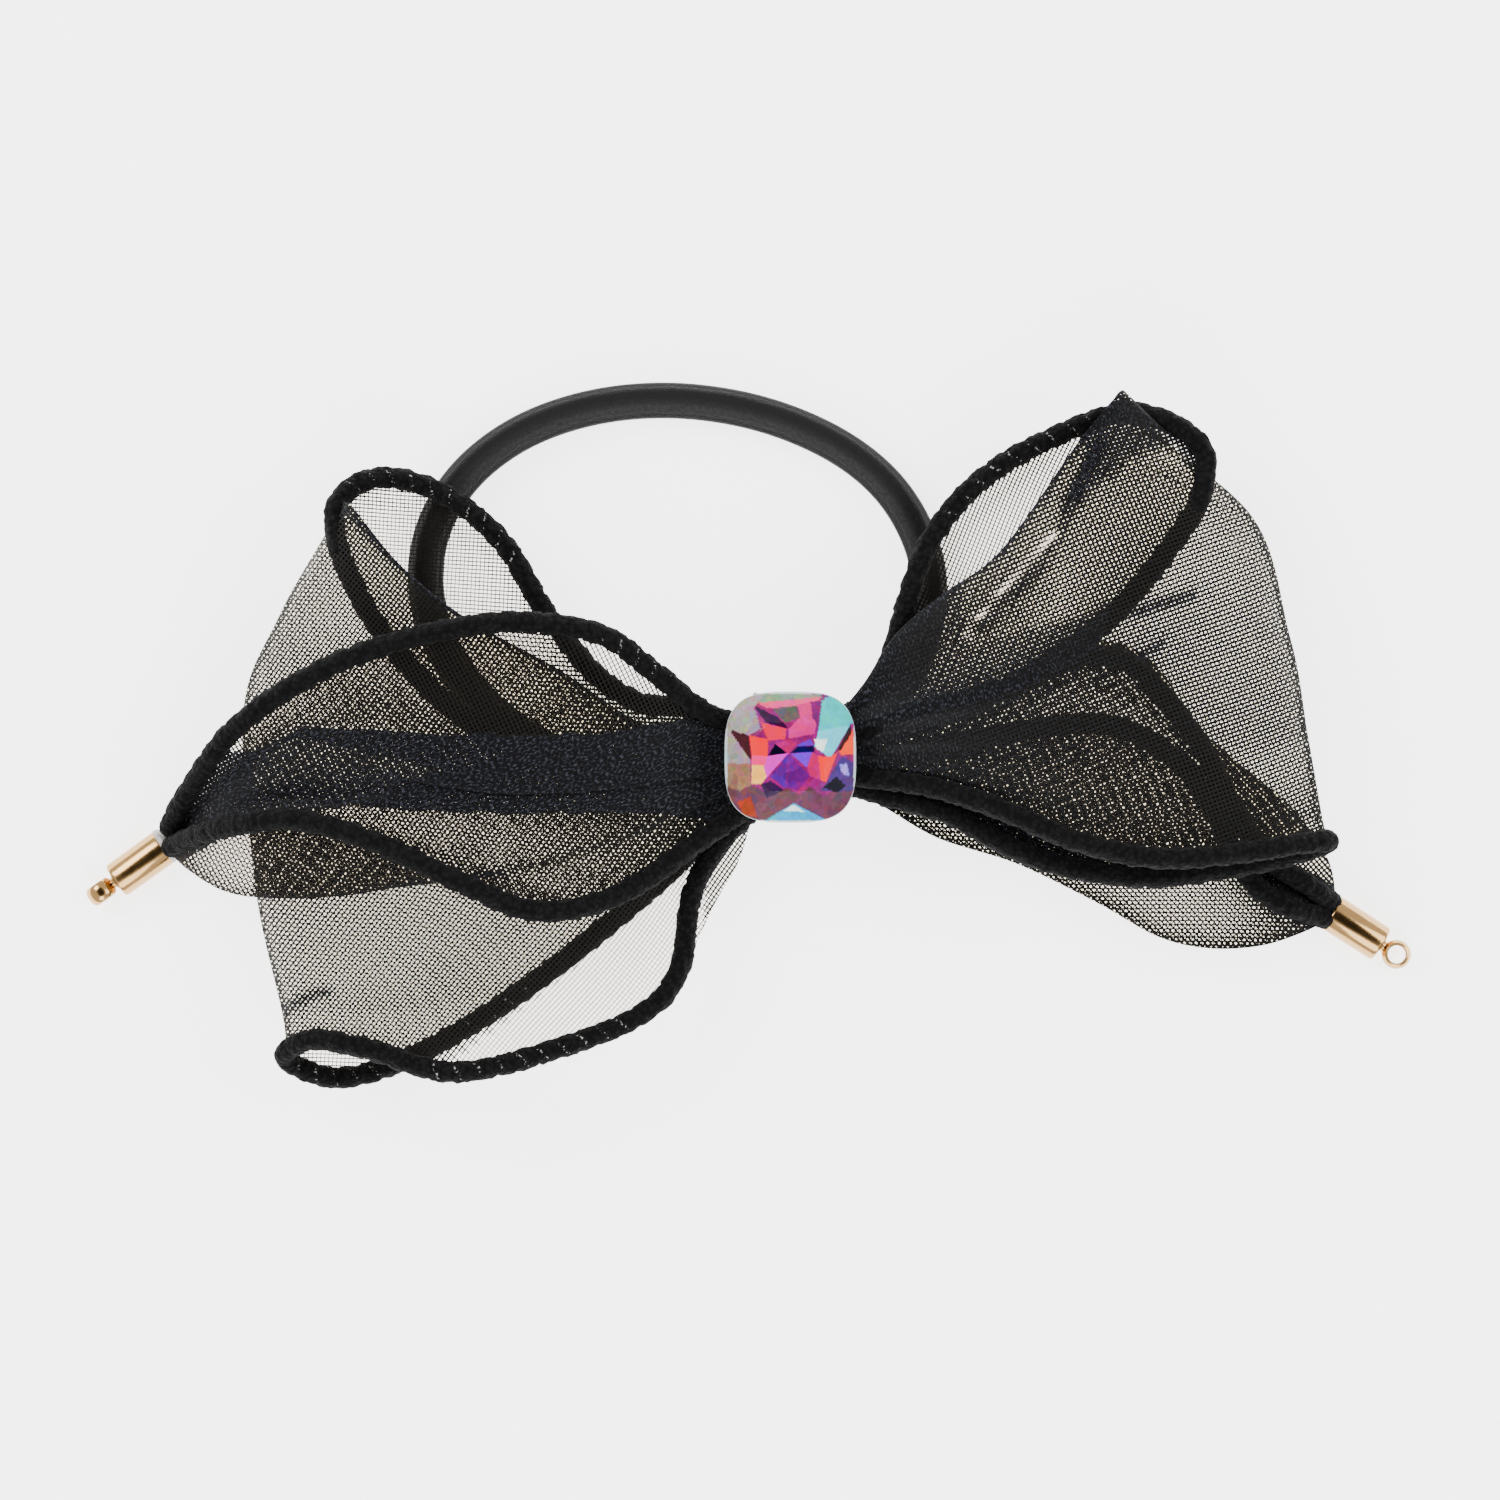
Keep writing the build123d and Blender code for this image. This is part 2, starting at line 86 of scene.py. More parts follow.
# Crystal: rings of facets, share that the crown fills, rim of clear glass and height of the girdle.
CROWN_RINGS, CROWN_SHARE, CLEAR_RIM, GIRDLE = 64, 0.985, 0.96, 0.42


def linear(code):
    """Turn an sRGB hex colour such as "#1d1c1f" into linear RGBA."""
    values = []
    for start in (1, 3, 5):
        value = int(code[start : start + 2], 16) / 255
        values.append(value / 12.92 if value <= 0.04045 else ((value + 0.055) / 1.055) ** 2.4)
    return (*values, 1.0)


def colour(name, description, code):
    """A colour property with a hex default."""
    return FloatVectorProperty(
        name=name, description=description, subtype="COLOR", size=4, min=0, max=1, default=linear(code)
    )


def length(name, description, millimetres):
    """A length property whose default is given in millimetres."""
    return FloatProperty(
        name=name, description=description, default=millimetres * MM, unit="LENGTH", precision=5
    )


# ------------------------------------------------------------------ properties


class HAIRBOW_PG_ribbon(PropertyGroup):
    """Sheer ribbon."""

    width: length("Ribbon Width", "Flat width of the ribbon", 60.0)
    thread_spacing: length("Thread Spacing", "Distance between threads, coarser than real organza", 0.43)
    warp_share: FloatProperty(
        name="Warp Share", description="Share of the spacing that a long thread covers", default=0.18, min=0, max=1
    )
    weft_share: FloatProperty(
        name="Weft Share", description="Share of the spacing that a cross thread covers", default=0.27, min=0, max=1
    )
    thread: colour("Thread", "Colour of the ribbon's threads", "#1a1917")
    packed: colour("Packed Thread", "Colour where the ribbon is gathered", "#0b0b0d")
    glint: colour("Satin Glint", "Colour of the threads that catch the light where the ribbon is gathered", "#34363e")
    veil: colour("Veil", "Tint of the light that comes between the threads of one layer", "#fbf6f0")
    deep_veil: colour("Deep Veil", "Tint of the light that comes through many layers", "#fcf8ea")


class HAIRBOW_PG_cord(PropertyGroup):
    """Corded edge."""

    diameter: length("Cord Diameter", "Thickness of the corded edge", 2.35)
    yarn: colour("Cord Yarn", "Colour of the cord", "#121213")
    pitch: length("Stitch Pitch", "Distance between the stitches that hold the cord", 2.3)
    # Stitch Fleck is painted light: where light glints on the stitches and shows through the gaps between them.
    fleck: colour("Stitch Fleck", "Colour of the sewing thread that glints on the cord", "#b4b0ac")


class HAIRBOW_PG_elastic(PropertyGroup):
    """Hair elastic."""

    diameter: length("Elastic Diameter", "Thickness of the hair elastic", 3.9)
    yarn: colour("Elastic Yarn", "Colour of the knitted sheath", "#131314")
    # Elastic Highlight is a painted highlight: the lighter band along the upper side of the sheath.
    painted_light: colour("Elastic Highlight", "Colour along the sheath's lighter rib", "#3c3b3c")


class HAIRBOW_PG_metal(PropertyGroup):
    """End caps."""

    plating: colour("Plating", "Colour of the pale gold plating", "#bd9560")
    bead: colour("Glue Bead", "Colour of the cured glue", "#d9d7d4")


class HAIRBOW_PG_stage(PropertyGroup):
    """Floor, lights and camera."""

    view_width: length("View Width", "Width of the floor that the camera sees", 160.5)
    camera_height: FloatProperty(
        name="Camera Height", description="Height over the floor", default=0.9, unit="LENGTH"
    )
    floor: colour("Floor", "Colour of the floor", "#ffffff")


GROUPS = {
    "hairbow_ribbon": HAIRBOW_PG_ribbon,
    "hairbow_cord": HAIRBOW_PG_cord,
    "hairbow_elastic": HAIRBOW_PG_elastic,
    "hairbow_metal": HAIRBOW_PG_metal,
    "hairbow_stage": HAIRBOW_PG_stage,
}


# ------------------------------------------------------------------ materials


def add_node(material, kind, inputs=None, **settings):
    """Add a shader node with its settings, its values and its links."""
    made = material.node_tree.nodes.new(kind)
    for name, value in settings.items():
        setattr(made, name, value)
    for name, value in (inputs or {}).items():
        if isinstance(value, bpy.types.NodeSocket):
            material.node_tree.links.new(value, made.inputs[name])
        else:
            made.inputs[name].default_value = value
    return made


def made_once(name):
    """Make a material from a function that fills it and returns its shader, or find the one made before."""

    def wrap(fill):
        def find():
            material = bpy.data.materials.get(name)
            if not material:
                material = bpy.data.materials.new(name)
                material.use_nodes = True
                material.node_tree.nodes.clear()
                add_node(material, "ShaderNodeOutputMaterial", {0: fill(material).outputs[0]})
            return material

        find.__doc__ = fill.__doc__
        return find

    return wrap


@made_once("polyester_organza_woven")
def organza(material):
    """Woven polyester organza: fine crisp threads with open gaps, and a satin sheen where it packs."""
    settings = bpy.context.scene.hairbow_ribbon
    uv = add_node(material, "ShaderNodeUVMap", uv_map="weave")
    axes = add_node(material, "ShaderNodeSeparateXYZ", {0: uv.outputs[0]})
    # This attribute counts how many times the cloth is folded over. It also carries painted shade: a loop's denser
    # front layer and the shaded outlines thicken the threads where shade falls.
    packing_and_shade = add_node(material, "ShaderNodeAttribute", attribute_name="packing_and_shade").outputs["Fac"]
    # The open share of a packed ribbon falls as the power of how many times it is folded.
    gaps = []
    for axis, share in (("X", settings.warp_share), ("Y", settings.weft_share)):
        open_share = add_node(material, "ShaderNodeMath", {0: 1 - share, 1: packing_and_shade}, operation="POWER").outputs[0]
        covered = add_node(material, "ShaderNodeMath", {0: 1.0, 1: open_share}, operation="SUBTRACT").outputs[0]
        count = add_node(
            material, "ShaderNodeMath", {0: axes.outputs[axis], 1: 1 / settings.thread_spacing}, operation="MULTIPLY"
        ).outputs[0]
        step = add_node(material, "ShaderNodeMath", {0: count}, operation="FRACT").outputs[0]
        gaps.append(
            add_node(material, "ShaderNodeMath", {0: step, 1: covered}, operation="GREATER_THAN").outputs[0]
        )
    gap = add_node(material, "ShaderNodeMath", {0: gaps[0], 1: gaps[1]}, operation="MULTIPLY").outputs[0]
    cover = add_node(material, "ShaderNodeMath", {0: 1.0, 1: gap}, operation="SUBTRACT").outputs[0]
    packed = add_node(
        material, "ShaderNodeMapRange", {"Value": packing_and_shade, "From Min": 1.5, "From Max": 7.0}
    ).outputs[0]
    slanted = add_node(material, "ShaderNodeMapping", {"Vector": uv.outputs[0], "Scale": (5200, 2400, 1)}).outputs[0]
    floats = add_node(material, "ShaderNodeTexNoise", {"Vector": slanted, "Scale": 1.0, "Detail": 1.0}).outputs["Fac"]
    caught = add_node(
        material, "ShaderNodeMapRange", {"Value": floats, "From Min": 0.52, "From Max": 0.68}
    ).outputs[0]
    shine = add_node(material, "ShaderNodeMath", {0: caught, 1: packed}, operation="MULTIPLY").outputs[0]
    base = add_node(
        material, "ShaderNodeMix", {0: packed, 6: settings.thread, 7: settings.packed}, data_type="RGBA"
    ).outputs[2]
    tint = add_node(
        material, "ShaderNodeMix", {0: shine, 6: base, 7: settings.glint}, data_type="RGBA"
    ).outputs[2]
    bump = add_node(material, "ShaderNodeBump", {"Height": floats, "Strength": 0.3, "Distance": 0.0001})
    thread = add_node(
        material, "ShaderNodeBsdfPrincipled",
        {"Base Color": tint, "Roughness": 0.5, "Sheen Weight": 0.02, "Sheen Roughness": 0.4,
         "Specular IOR Level": 0.08, "Normal": bump.outputs[0]},
    )
    deep = add_node(
        material, "ShaderNodeMapRange", {"Value": packing_and_shade, "From Min": 1.2, "From Max": 2.4}
    ).outputs[0]
    light = add_node(
        material, "ShaderNodeMix", {0: deep, 6: settings.veil, 7: settings.deep_veil}, data_type="RGBA"
    ).outputs[2]
    veil = add_node(material, "ShaderNodeBsdfTransparent", {"Color": light})
    mix = add_node(material, "ShaderNodeMixShader", {0: cover, 1: veil.outputs[0], 2: thread.outputs[0]})
    return mix


@made_once("polyester_organza_gathered")
def packed_cloth(material):
    """The same ribbon folded many times over: opaque blue-black satin with fine pleats."""
    settings = bpy.context.scene.hairbow_ribbon
    place = add_node(material, "ShaderNodeTexCoord").outputs["Object"]
    pleats = add_node(
        material, "ShaderNodeTexWave", {"Vector": place, "Scale": 500.0, "Distortion": 2.5, "Detail": 2.0},
        bands_direction="Y",
    ).outputs["Fac"]
    bump = add_node(material, "ShaderNodeBump", {"Height": pleats, "Strength": 0.6, "Distance": 0.0003})
    surface = add_node(
        material, "ShaderNodeBsdfPrincipled",
        {"Base Color": settings.packed, "Roughness": 0.6, "Sheen Weight": 0.06, "Sheen Roughness": 0.4,
         "Specular IOR Level": 0.15, "Normal": bump.outputs[0]},
    )
    return surface


@made_once("polyester_cord_knitted")
def knitted_cord(material):
    """Knitted polyester cord: small loops in relief, matt black, with white sewing thread glinting."""
    settings = bpy.context.scene.hairbow_cord
    uv = add_node(material, "ShaderNodeUVMap", uv_map="weave").outputs[0]
    cells = add_node(material, "ShaderNodeTexVoronoi", {"Vector": uv, "Scale": 1900.0})
    grain = add_node(material, "ShaderNodeTexNoise", {"Vector": uv, "Scale": 3500.0, "Detail": 3.0})
    relief = add_node(
        material, "ShaderNodeMath", {0: cells.outputs["Distance"], 1: grain.outputs["Fac"]}, operation="ADD"
    ).outputs[0]
    bump = add_node(
        material, "ShaderNodeBump", {"Height": relief, "Strength": 0.9, "Distance": 0.00025}, invert=True
    )
    # This attribute marks where painted glints of light show at the stitches.
    stitched = add_node(material, "ShaderNodeAttribute", attribute_name="fleck").outputs["Fac"]
    axes = add_node(material, "ShaderNodeSeparateXYZ", {0: uv})
    lean = add_node(material, "ShaderNodeMath", {0: axes.outputs["Y"], 1: 0.45}, operation="MULTIPLY").outputs[0]
    slanted = add_node(material, "ShaderNodeMath", {0: axes.outputs["X"], 1: lean}, operation="ADD").outputs[0]
    count = add_node(
        material, "ShaderNodeMath", {0: slanted, 1: 1 / settings.pitch}, operation="MULTIPLY"
    ).outputs[0]
    beat = add_node(material, "ShaderNodeMath", {0: count}, operation="FRACT").outputs[0]
    stitch = add_node(material, "ShaderNodeMath", {0: beat, 1: 0.16}, operation="LESS_THAN").outputs[0]
    broken = add_node(
        material, "ShaderNodeMapRange", {"Value": grain.outputs["Fac"], "From Min": 0.57, "From Max": 0.66}
    ).outputs[0]
    shown = add_node(material, "ShaderNodeMath", {0: stitched, 1: stitch}, operation="MULTIPLY").outputs[0]
    shown = add_node(material, "ShaderNodeMath", {0: shown, 1: broken}, operation="MULTIPLY").outputs[0]
    # Painted light and shade: the cord is lighter on the crowns of its knit loops and darker in the hollows between
    # them.
    painted_light = add_node(
        material, "ShaderNodeMapRange",
        {"Value": cells.outputs["Distance"], "From Min": 0.0, "From Max": 0.7, "To Min": 1.7, "To Max": 0.5},
    ).outputs[0]
    yarn = add_node(
        material, "ShaderNodeVectorMath", {0: settings.yarn[:3], 1: painted_light}, operation="MULTIPLY"
    ).outputs[0]
    tint = add_node(material, "ShaderNodeMix", {0: shown, 6: yarn, 7: settings.fleck}, data_type="RGBA").outputs[2]
    surface = add_node(
        material, "ShaderNodeBsdfPrincipled",
        {"Base Color": tint, "Roughness": 0.85, "Sheen Weight": 0.03, "Sheen Roughness": 0.5,
         "Specular IOR Level": 0.06, "Normal": bump.outputs[0]},
    )
    return surface


@made_once("elastic_sheath_knitted")
def knitted_elastic(material):
    """Knitted elastic sheath: fine ribs along the band, matt, with one lighter rib."""
    settings = bpy.context.scene.hairbow_elastic
    uv = add_node(material, "ShaderNodeUVMap", uv_map="weave").outputs[0]
    stretched = add_node(material, "ShaderNodeMapping", {"Vector": uv, "Scale": (2600, 4200, 1)}).outputs[0]
    loops = add_node(material, "ShaderNodeTexVoronoi", {"Vector": stretched, "Scale": 1.0}).outputs["Distance"]
    ribs = add_node(
        material, "ShaderNodeTexWave", {"Vector": uv, "Scale": 260.0, "Distortion": 0.4, "Detail": 1.0},
        bands_direction="Y",
    ).outputs["Fac"]
    relief = add_node(material, "ShaderNodeMath", {0: ribs, 1: loops}, operation="SUBTRACT").outputs[0]
    bump = add_node(material, "ShaderNodeBump", {"Height": relief, "Strength": 0.6, "Distance": 0.00012})
    # Painted highlight: the colour turns lighter along the upper side of the sheath.
    lighter = add_node(material, "ShaderNodeAttribute", attribute_name="painted_highlight").outputs["Fac"]
    grain = add_node(material, "ShaderNodeTexNoise", {"Vector": uv, "Scale": 2500.0, "Detail": 2.0}).outputs["Fac"]
    share = add_node(material, "ShaderNodeMath", {0: lighter, 1: grain}, operation="MULTIPLY").outputs[0]
    tint = add_node(
        material, "ShaderNodeMix", {0: share, 6: settings.yarn, 7: settings.painted_light}, data_type="RGBA"
    ).outputs[2]
    surface = add_node(
        material, "ShaderNodeBsdfPrincipled",
        {"Base Color": tint, "Roughness": 0.75, "Sheen Weight": 0.05, "Sheen Roughness": 0.45,
         "Specular IOR Level": 0.2, "Normal": bump.outputs[0]},
    )
    return surface


@made_once("cut_glass_iridescent")
def coated_crystal(material):
    """Foiled cut glass with an iridescent coating: each facet throws its own colour."""
    facet = add_node(material, "ShaderNodeAttribute", attribute_name="painted_reflection_colour").outputs["Color"]
    place = add_node(material, "ShaderNodeTexCoord").outputs["Object"]
    shards = add_node(material, "ShaderNodeTexVoronoi", {"Vector": place, "Scale": 1000.0}, distance="MANHATTAN")
    cloud = add_node(
        material, "ShaderNodeTexNoise", {"Vector": place, "Scale": 700.0, "Detail": 3.0, "Distortion": 2.0}
    ).outputs["Color"]
    tint = add_node(
        material, "ShaderNodeMix", {0: 0.16, 6: facet, 7: shards.outputs["Color"]}, data_type="RGBA",
        blend_type="OVERLAY",
    ).outputs[2]
    tint = add_node(
        material, "ShaderNodeMix", {0: 0.3, 6: tint, 7: cloud}, data_type="RGBA", blend_type="OVERLAY"
    ).outputs[2]
    rich = add_node(material, "ShaderNodeGamma", {0: tint, 1: 1.9}).outputs[0]
    # The base colour is painted reflection. The small emission makes the crystal glow faintly, which is a painted
    # glow.
    surface = add_node(
        material, "ShaderNodeBsdfPrincipled",
        {"Base Color": rich, "Roughness": 0.3, "IOR": 1.5, "Specular IOR Level": 0.15, "Coat Weight": 0.15,
         "Coat Roughness": 0.03, "Emission Color": rich, "Emission Strength": 0.15},
    )
    return surface


@made_once("clear_glass_polished")
def clear_rim(material):
    """Clear polished glass at the crystal's girdle."""
    surface = add_node(
        material, "ShaderNodeBsdfPrincipled",
        {"Base Color": linear("#dfe3e8"), "Roughness": 0.06, "IOR": 1.52, "Transmission Weight": 0.5,
         "Coat Weight": 0.5},
    )
    return surface


@made_once("brass_pale_gold_plated")
def plated_metal(material):
    """Drawn brass with polished pale gold plating: fine draw lines and soft wear."""
    settings = bpy.context.scene.hairbow_metal
    place = add_node(material, "ShaderNodeTexCoord").outputs["Object"]
    haze = add_node(material, "ShaderNodeTexNoise", {"Vector": place, "Scale": 900.0, "Detail": 4.0}).outputs["Fac"]
    rough = add_node(
        material, "ShaderNodeMapRange", {"Value": haze, "To Min": 0.08, "To Max": 0.26}
    ).outputs[0]
    bump = add_node(material, "ShaderNodeBump", {"Height": haze, "Strength": 0.08, "Distance": 0.0001})
    surface = add_node(
        material, "ShaderNodeBsdfPrincipled",
        {"Base Color": settings.plating, "Metallic": 1.0, "Roughness": rough, "Normal": bump.outputs[0]},
    )
    return surface


@made_once("glue_cured_clear")
def cured_glue(material):
    """Cured clear glue: glossy, slightly milky."""
    settings = bpy.context.scene.hairbow_metal
    surface = add_node(
        material, "ShaderNodeBsdfPrincipled",
        {"Base Color": settings.bead, "Roughness": 0.2, "Transmission Weight": 0.35, "IOR": 1.45},
    )
    return surface


@made_once("board_matt_white")
def plain_floor(material):
    """Matt white board."""
    settings = bpy.context.scene.hairbow_stage
    surface = add_node(
        material, "ShaderNodeBsdfPrincipled",
        {"Base Color": settings.floor, "Roughness": 0.9, "Specular IOR Level": 0.1,
         "Emission Color": settings.floor, "Emission Strength": 3.4},
    )
    return surface


def studio_world():
    """A bright room with a darker ceiling over the middle, so that polished metal shows its shape."""
    world = bpy.data.worlds.new("studio")
    world.use_nodes = True
    place = add_node(world, "ShaderNodeTexCoord").outputs["Generated"]
    height = add_node(world, "ShaderNodeSeparateXYZ", {0: place}).outputs["Z"]
    bright = add_node(
        world, "ShaderNodeMapRange",
        {"Value": height, "From Min": 0.82, "From Max": 0.93, "To Min": 1.1, "To Max": 0.04},
    ).outputs[0]
    world.node_tree.links.new(bright, world.node_tree.nodes["Background"].inputs["Strength"])
    world.node_tree.nodes["Background"].inputs["Color"].default_value = (1, 1, 1, 1)
    return world


# ------------------------------------------------------------------ curves and meshes


def curve_point(points, place):
    """Catmull-Rom point at a place from 0 to 1 along the control points, by index."""
    last = len(points) - 1
    scaled = min(max(place, 0.0), 1.0) * last
    index = min(int(scaled), last - 1)
    t = scaled - index
    a = Vector(points[max(index - 1, 0)])
    b = Vector(points[index])
    c = Vector(points[index + 1])
    d = Vector(points[min(index + 2, last)])
    return 0.5 * ((2 * b) + (c - a) * t + (2 * a - 5 * b + 4 * c - d) * t * t + (3 * b - a - 3 * c + d) * t**3)


def even_points(points, count):
    """Points evenly spaced along the smooth curve through the control points."""
    fine = [curve_point(points, i / 240) for i in range(241)]
    reach = [0.0]
    for before, after in zip(fine, fine[1:]):
        reach.append(reach[-1] + (after - before).length)
    result = []
    index = 0
    for step in range(count):
        wanted = reach[-1] * step / (count - 1)
        while index < 239 and reach[index + 1] < wanted:
            index += 1
        span = max(reach[index + 1] - reach[index], 1e-9)
        result.append(fine[index].lerp(fine[index + 1], min(max((wanted - reach[index]) / span, 0), 1)))
    return result


def rail_points(rail, count):
    """Evenly spaced points of a rail; a rail in two halves keeps its fold at the middle."""
    if isinstance(rail[0][0], (tuple, list)):
        out, back = rail
        half = count // 2 + 1
        return even_points(out, half) + even_points([out[-1], *back], half)[1:]
    return even_points(rail, count)


def close_seams(bm, fill=False):
    """Merge the points that meet, fill the open ends if asked, and turn every face outwards."""
    bmesh.ops.remove_doubles(bm, verts=bm.verts[:], dist=MERGE_DISTANCE)
    if fill:
        bmesh.ops.holes_fill(bm, edges=[edge for edge in bm.edges if edge.is_boundary], sides=0)
    bmesh.ops.recalc_face_normals(bm, faces=bm.faces[:])


def new_object(name, bm, material):
    """Turn a mesh under construction into a smooth object with one material."""
    data = bpy.data.meshes.new(name)
    bm.to_mesh(data)
    bm.free()
    made = bpy.data.objects.new(name, data)
    bpy.context.scene.collection.objects.link(made)
    made.data.materials.append(material)
    for face in made.data.polygons:
        face.use_smooth = True
    return made


def squircle(turn, reach, sharpness=3.2):
    """Point of a rounded square at an angle."""
    c, s = math.cos(turn), math.sin(turn)
    scale = reach / (abs(c) ** sharpness + abs(s) ** sharpness) ** (1 / sharpness)
    return c * scale, s * scale


def inside(place, outline):
    """Whether a plan point lies within a closed outline."""
    found = False
    for (ax, ay), (bx, by) in zip(outline, (*outline[1:], outline[0])):
        if (ay > place.y) != (by > place.y) and place.x < (bx - ax) * (place.y - ay) / (by - ay) + ax:
            found = not found
    return found


def distance_to(place, line):
    """Shortest plan distance from a point to a line of points."""
    best = 1e9
    for start, end in zip(line, line[1:]):
        share = intersect_point_line(place, Vector(start), Vector(end))[1]
        near = Vector(start).lerp(Vector(end), min(max(share, 0), 1))
        best = min(best, (near - place).length)
    return best


def ribbon_sheet(
    name, rails, shares, layers=(1.0, 1.0), bias=(0, 0), turned=1.0, pleats=(), creases=(), along=200, across=110,
    folds=6, crumple=0.2,
):
    """Loft a sheer ribbon through its rails. The shares place each rail across the flat ribbon.

    Layers says how dense the back and front layers are. Pleats are plan outlines, and creases plan lines,
    within which one layer is folded more times over. Bias turns the weave of the back and front layers, and
    turned is the share across past which a tail's ribbon has folded over to its front.
    """
    settings = bpy.context.scene.hairbow_ribbon
    looped = isinstance(rails[0][0][0], (tuple, list))
    lines = [rail_points(rail, along + 1) for rail in rails]
    bm = bmesh.new()
    weave = bm.loops.layers.uv.new("weave")
    packing_and_shade = bm.verts.layers.float.new("packing_and_shade")
    bmesh.ops.create_grid(bm, x_segments=along, y_segments=across, size=0.5)
    middle = lines[len(lines) // 2]
    flat_length = sum((b - a).length for a, b in zip(middle, middle[1:]))
    seed = Vector((len(name) * 3.7, middle[0].x, 2.0))
    flat_place = {}
    for vert in bm.verts:
        i = round((vert.co.x + 0.5) * along)
        v = vert.co.y + 0.5
        flat_place[vert] = (i / along * flat_length * MM, v * settings.width, i)
        k = 0
        while k < len(shares) - 2 and shares[k + 1] < v:
            k += 1
        local = (v - shares[k]) / (shares[k + 1] - shares[k])
        vert.co = curve_point([line[i] for line in lines], (k + local) / (len(lines) - 1)) * MM
    bm.normal_update()
    moves = {}
    for vert in bm.verts:
        u, v, i = flat_place[vert]
        place = i / along
        near_knot = min(place, 1 - place) * 2 if looped else place
        pinned = min(v, settings.width - v) / settings.width
        gather = math.exp(-near_knot * GATHER_FADE)
        wave = math.sin(v / settings.width * math.pi * 2 * folds + 2.5 * noise.noise(seed + vert.co * 40))
        soft = noise.noise(seed + Vector((u * 38, v * 90, 0.0)))
        reach = gather * wave * GATHER_HEIGHT + soft * crumple * (1 - gather)
        moves[vert] = vert.normal * reach * MM * min(1.0, pinned * RIM_RISE)
    for vert, move in moves.items():
        vert.co += move
    flat_cell = flat_length * MM / along * settings.width / across
    for vert in bm.verts:
        u, v, i = flat_place[vert]
        real = sum(face.calc_area() for face in vert.link_faces) / max(len(vert.link_faces), 1)
        side = "front" if looped and i > along / 2 else "back"
        # A loop's front layer is drawn denser than its back. This is partly the look of two layers seen through each
        # other, and partly painted shade between them.
        amount = max(flat_cell / max(real, 1e-12), LEAST_SQUEEZE) ** PACKING_POWER * layers[side == "front"]
        spot = Vector((vert.co.x, vert.co.y)) / MM
        for which, outline, factor in pleats:
            if which in (side, "both") and inside(spot, outline):
                amount *= factor
        for which, line, half_width, factor in creases:
            if which in (side, "both"):
                away = distance_to(spot, line) / half_width
                if away < CREASE_REACH:
                    amount *= 1 + (factor - 1) * math.exp(-away * away)
        if looped:
            away = abs(i - along / 2) * flat_length / along / FOLD_WIDTH
            amount *= 1 + FOLD_PACKING * math.exp(-away * away)
        vert[packing_and_shade] = min(amount, MOST_PACKING)
    # The threads keep their spacing wherever the ribbon is gathered, and wander a little. Vector noise is seeded
    # from the clock unless it is told otherwise, which would lay the threads differently at each run.
    noise.seed_set(THREAD_SEED)
    for face in bm.faces:
        across_share = min(flat_place[vert][1] for vert in face.verts) / settings.width
        front = min(flat_place[vert][2] for vert in face.verts) >= along / 2 if looped else across_share >= turned
        turn = Matrix.Rotation(math.radians(bias[front]), 2)
        for loop in face.loops:
            spot = loop.vert.co
            wander = noise.noise_vector(seed + spot * WANDER_RATE + Vector((0, 0, 9.0 * front))) * THREAD_WANDER
            loop[weave].uv = turn @ (spot + wander).xy
    made = new_object(name, bm, organza())
    return made


def tube_mesh(
    name, points, radius, material, around=20, flatten=1.0, grooves=None, rough=0.0, pitch=0.0, step=0.35
):
    """Sweep a round grid along a smooth line, with a UV map in metres, and close its ends."""
    total = sum((Vector(b) - Vector(a)).length for a, b in zip(points, points[1:]))
    along = max(int(total / step), 8)
    line = even_points(points, along + 1)
    bm = bmesh.new()
    weave = bm.loops.layers.uv.new("weave")
    # The extra layer holds the elastic's painted highlight, or else the places where the cord's painted stitch glints
    # may show.
    extra = bm.verts.layers.float.new("painted_highlight" if grooves else "fleck")
    bmesh.ops.create_grid(bm, x_segments=along, y_segments=around, size=0.5)
    up = Vector((0, 0, 1))
    flat_place = {}
    for vert in bm.verts:
        i = round((vert.co.x + 0.5) * along)
        turn = (vert.co.y + 0.5) * 2 * math.pi
        tangent = (line[min(i + 1, along)] - line[max(i - 1, 0)]).normalized()
        side = tangent.cross(up)
        side = side.normalized() if side.length > 0.05 else Vector((0, 1, 0))
        over = side.cross(tangent).normalized()
        reach = radius
        if grooves:
            for groove_turn, depth in grooves:
                away = math.atan2(math.sin(turn - groove_turn), math.cos(turn - groove_turn))
                reach -= depth * math.exp(-((away / GROOVE_WIDTH) ** 2))
            # Painted highlight along the upper side of the elastic, placed by angle round the tube.
            vert[extra] = math.exp(-(((turn - HIGHLIGHT_PLACE) / HIGHLIGHT_WIDTH) ** 2))
        if pitch:
            beat = (i * total / along / pitch) % 1.0 - 0.5
            reach -= DENT_DEPTH * math.exp(-((beat / DENT_WIDTH) ** 2))
        if rough:
            sample = Vector((i * 0.9, math.cos(turn) * 1.6, math.sin(turn) * 1.6))
            reach += rough * (noise.noise(sample) + 0.5 * noise.noise(sample * 2.3))
        flat_place[vert] = (i * total / along * MM, turn * radius * MM)
        vert.co = (line[i] + side * math.cos(turn) * reach + over * math.sin(turn) * reach * flatten) * MM
    for face in bm.faces:
        for loop in face.loops:
            loop[weave].uv = flat_place[loop.vert]
    close_seams(bm, fill=True)
    return new_object(name, bm, material)


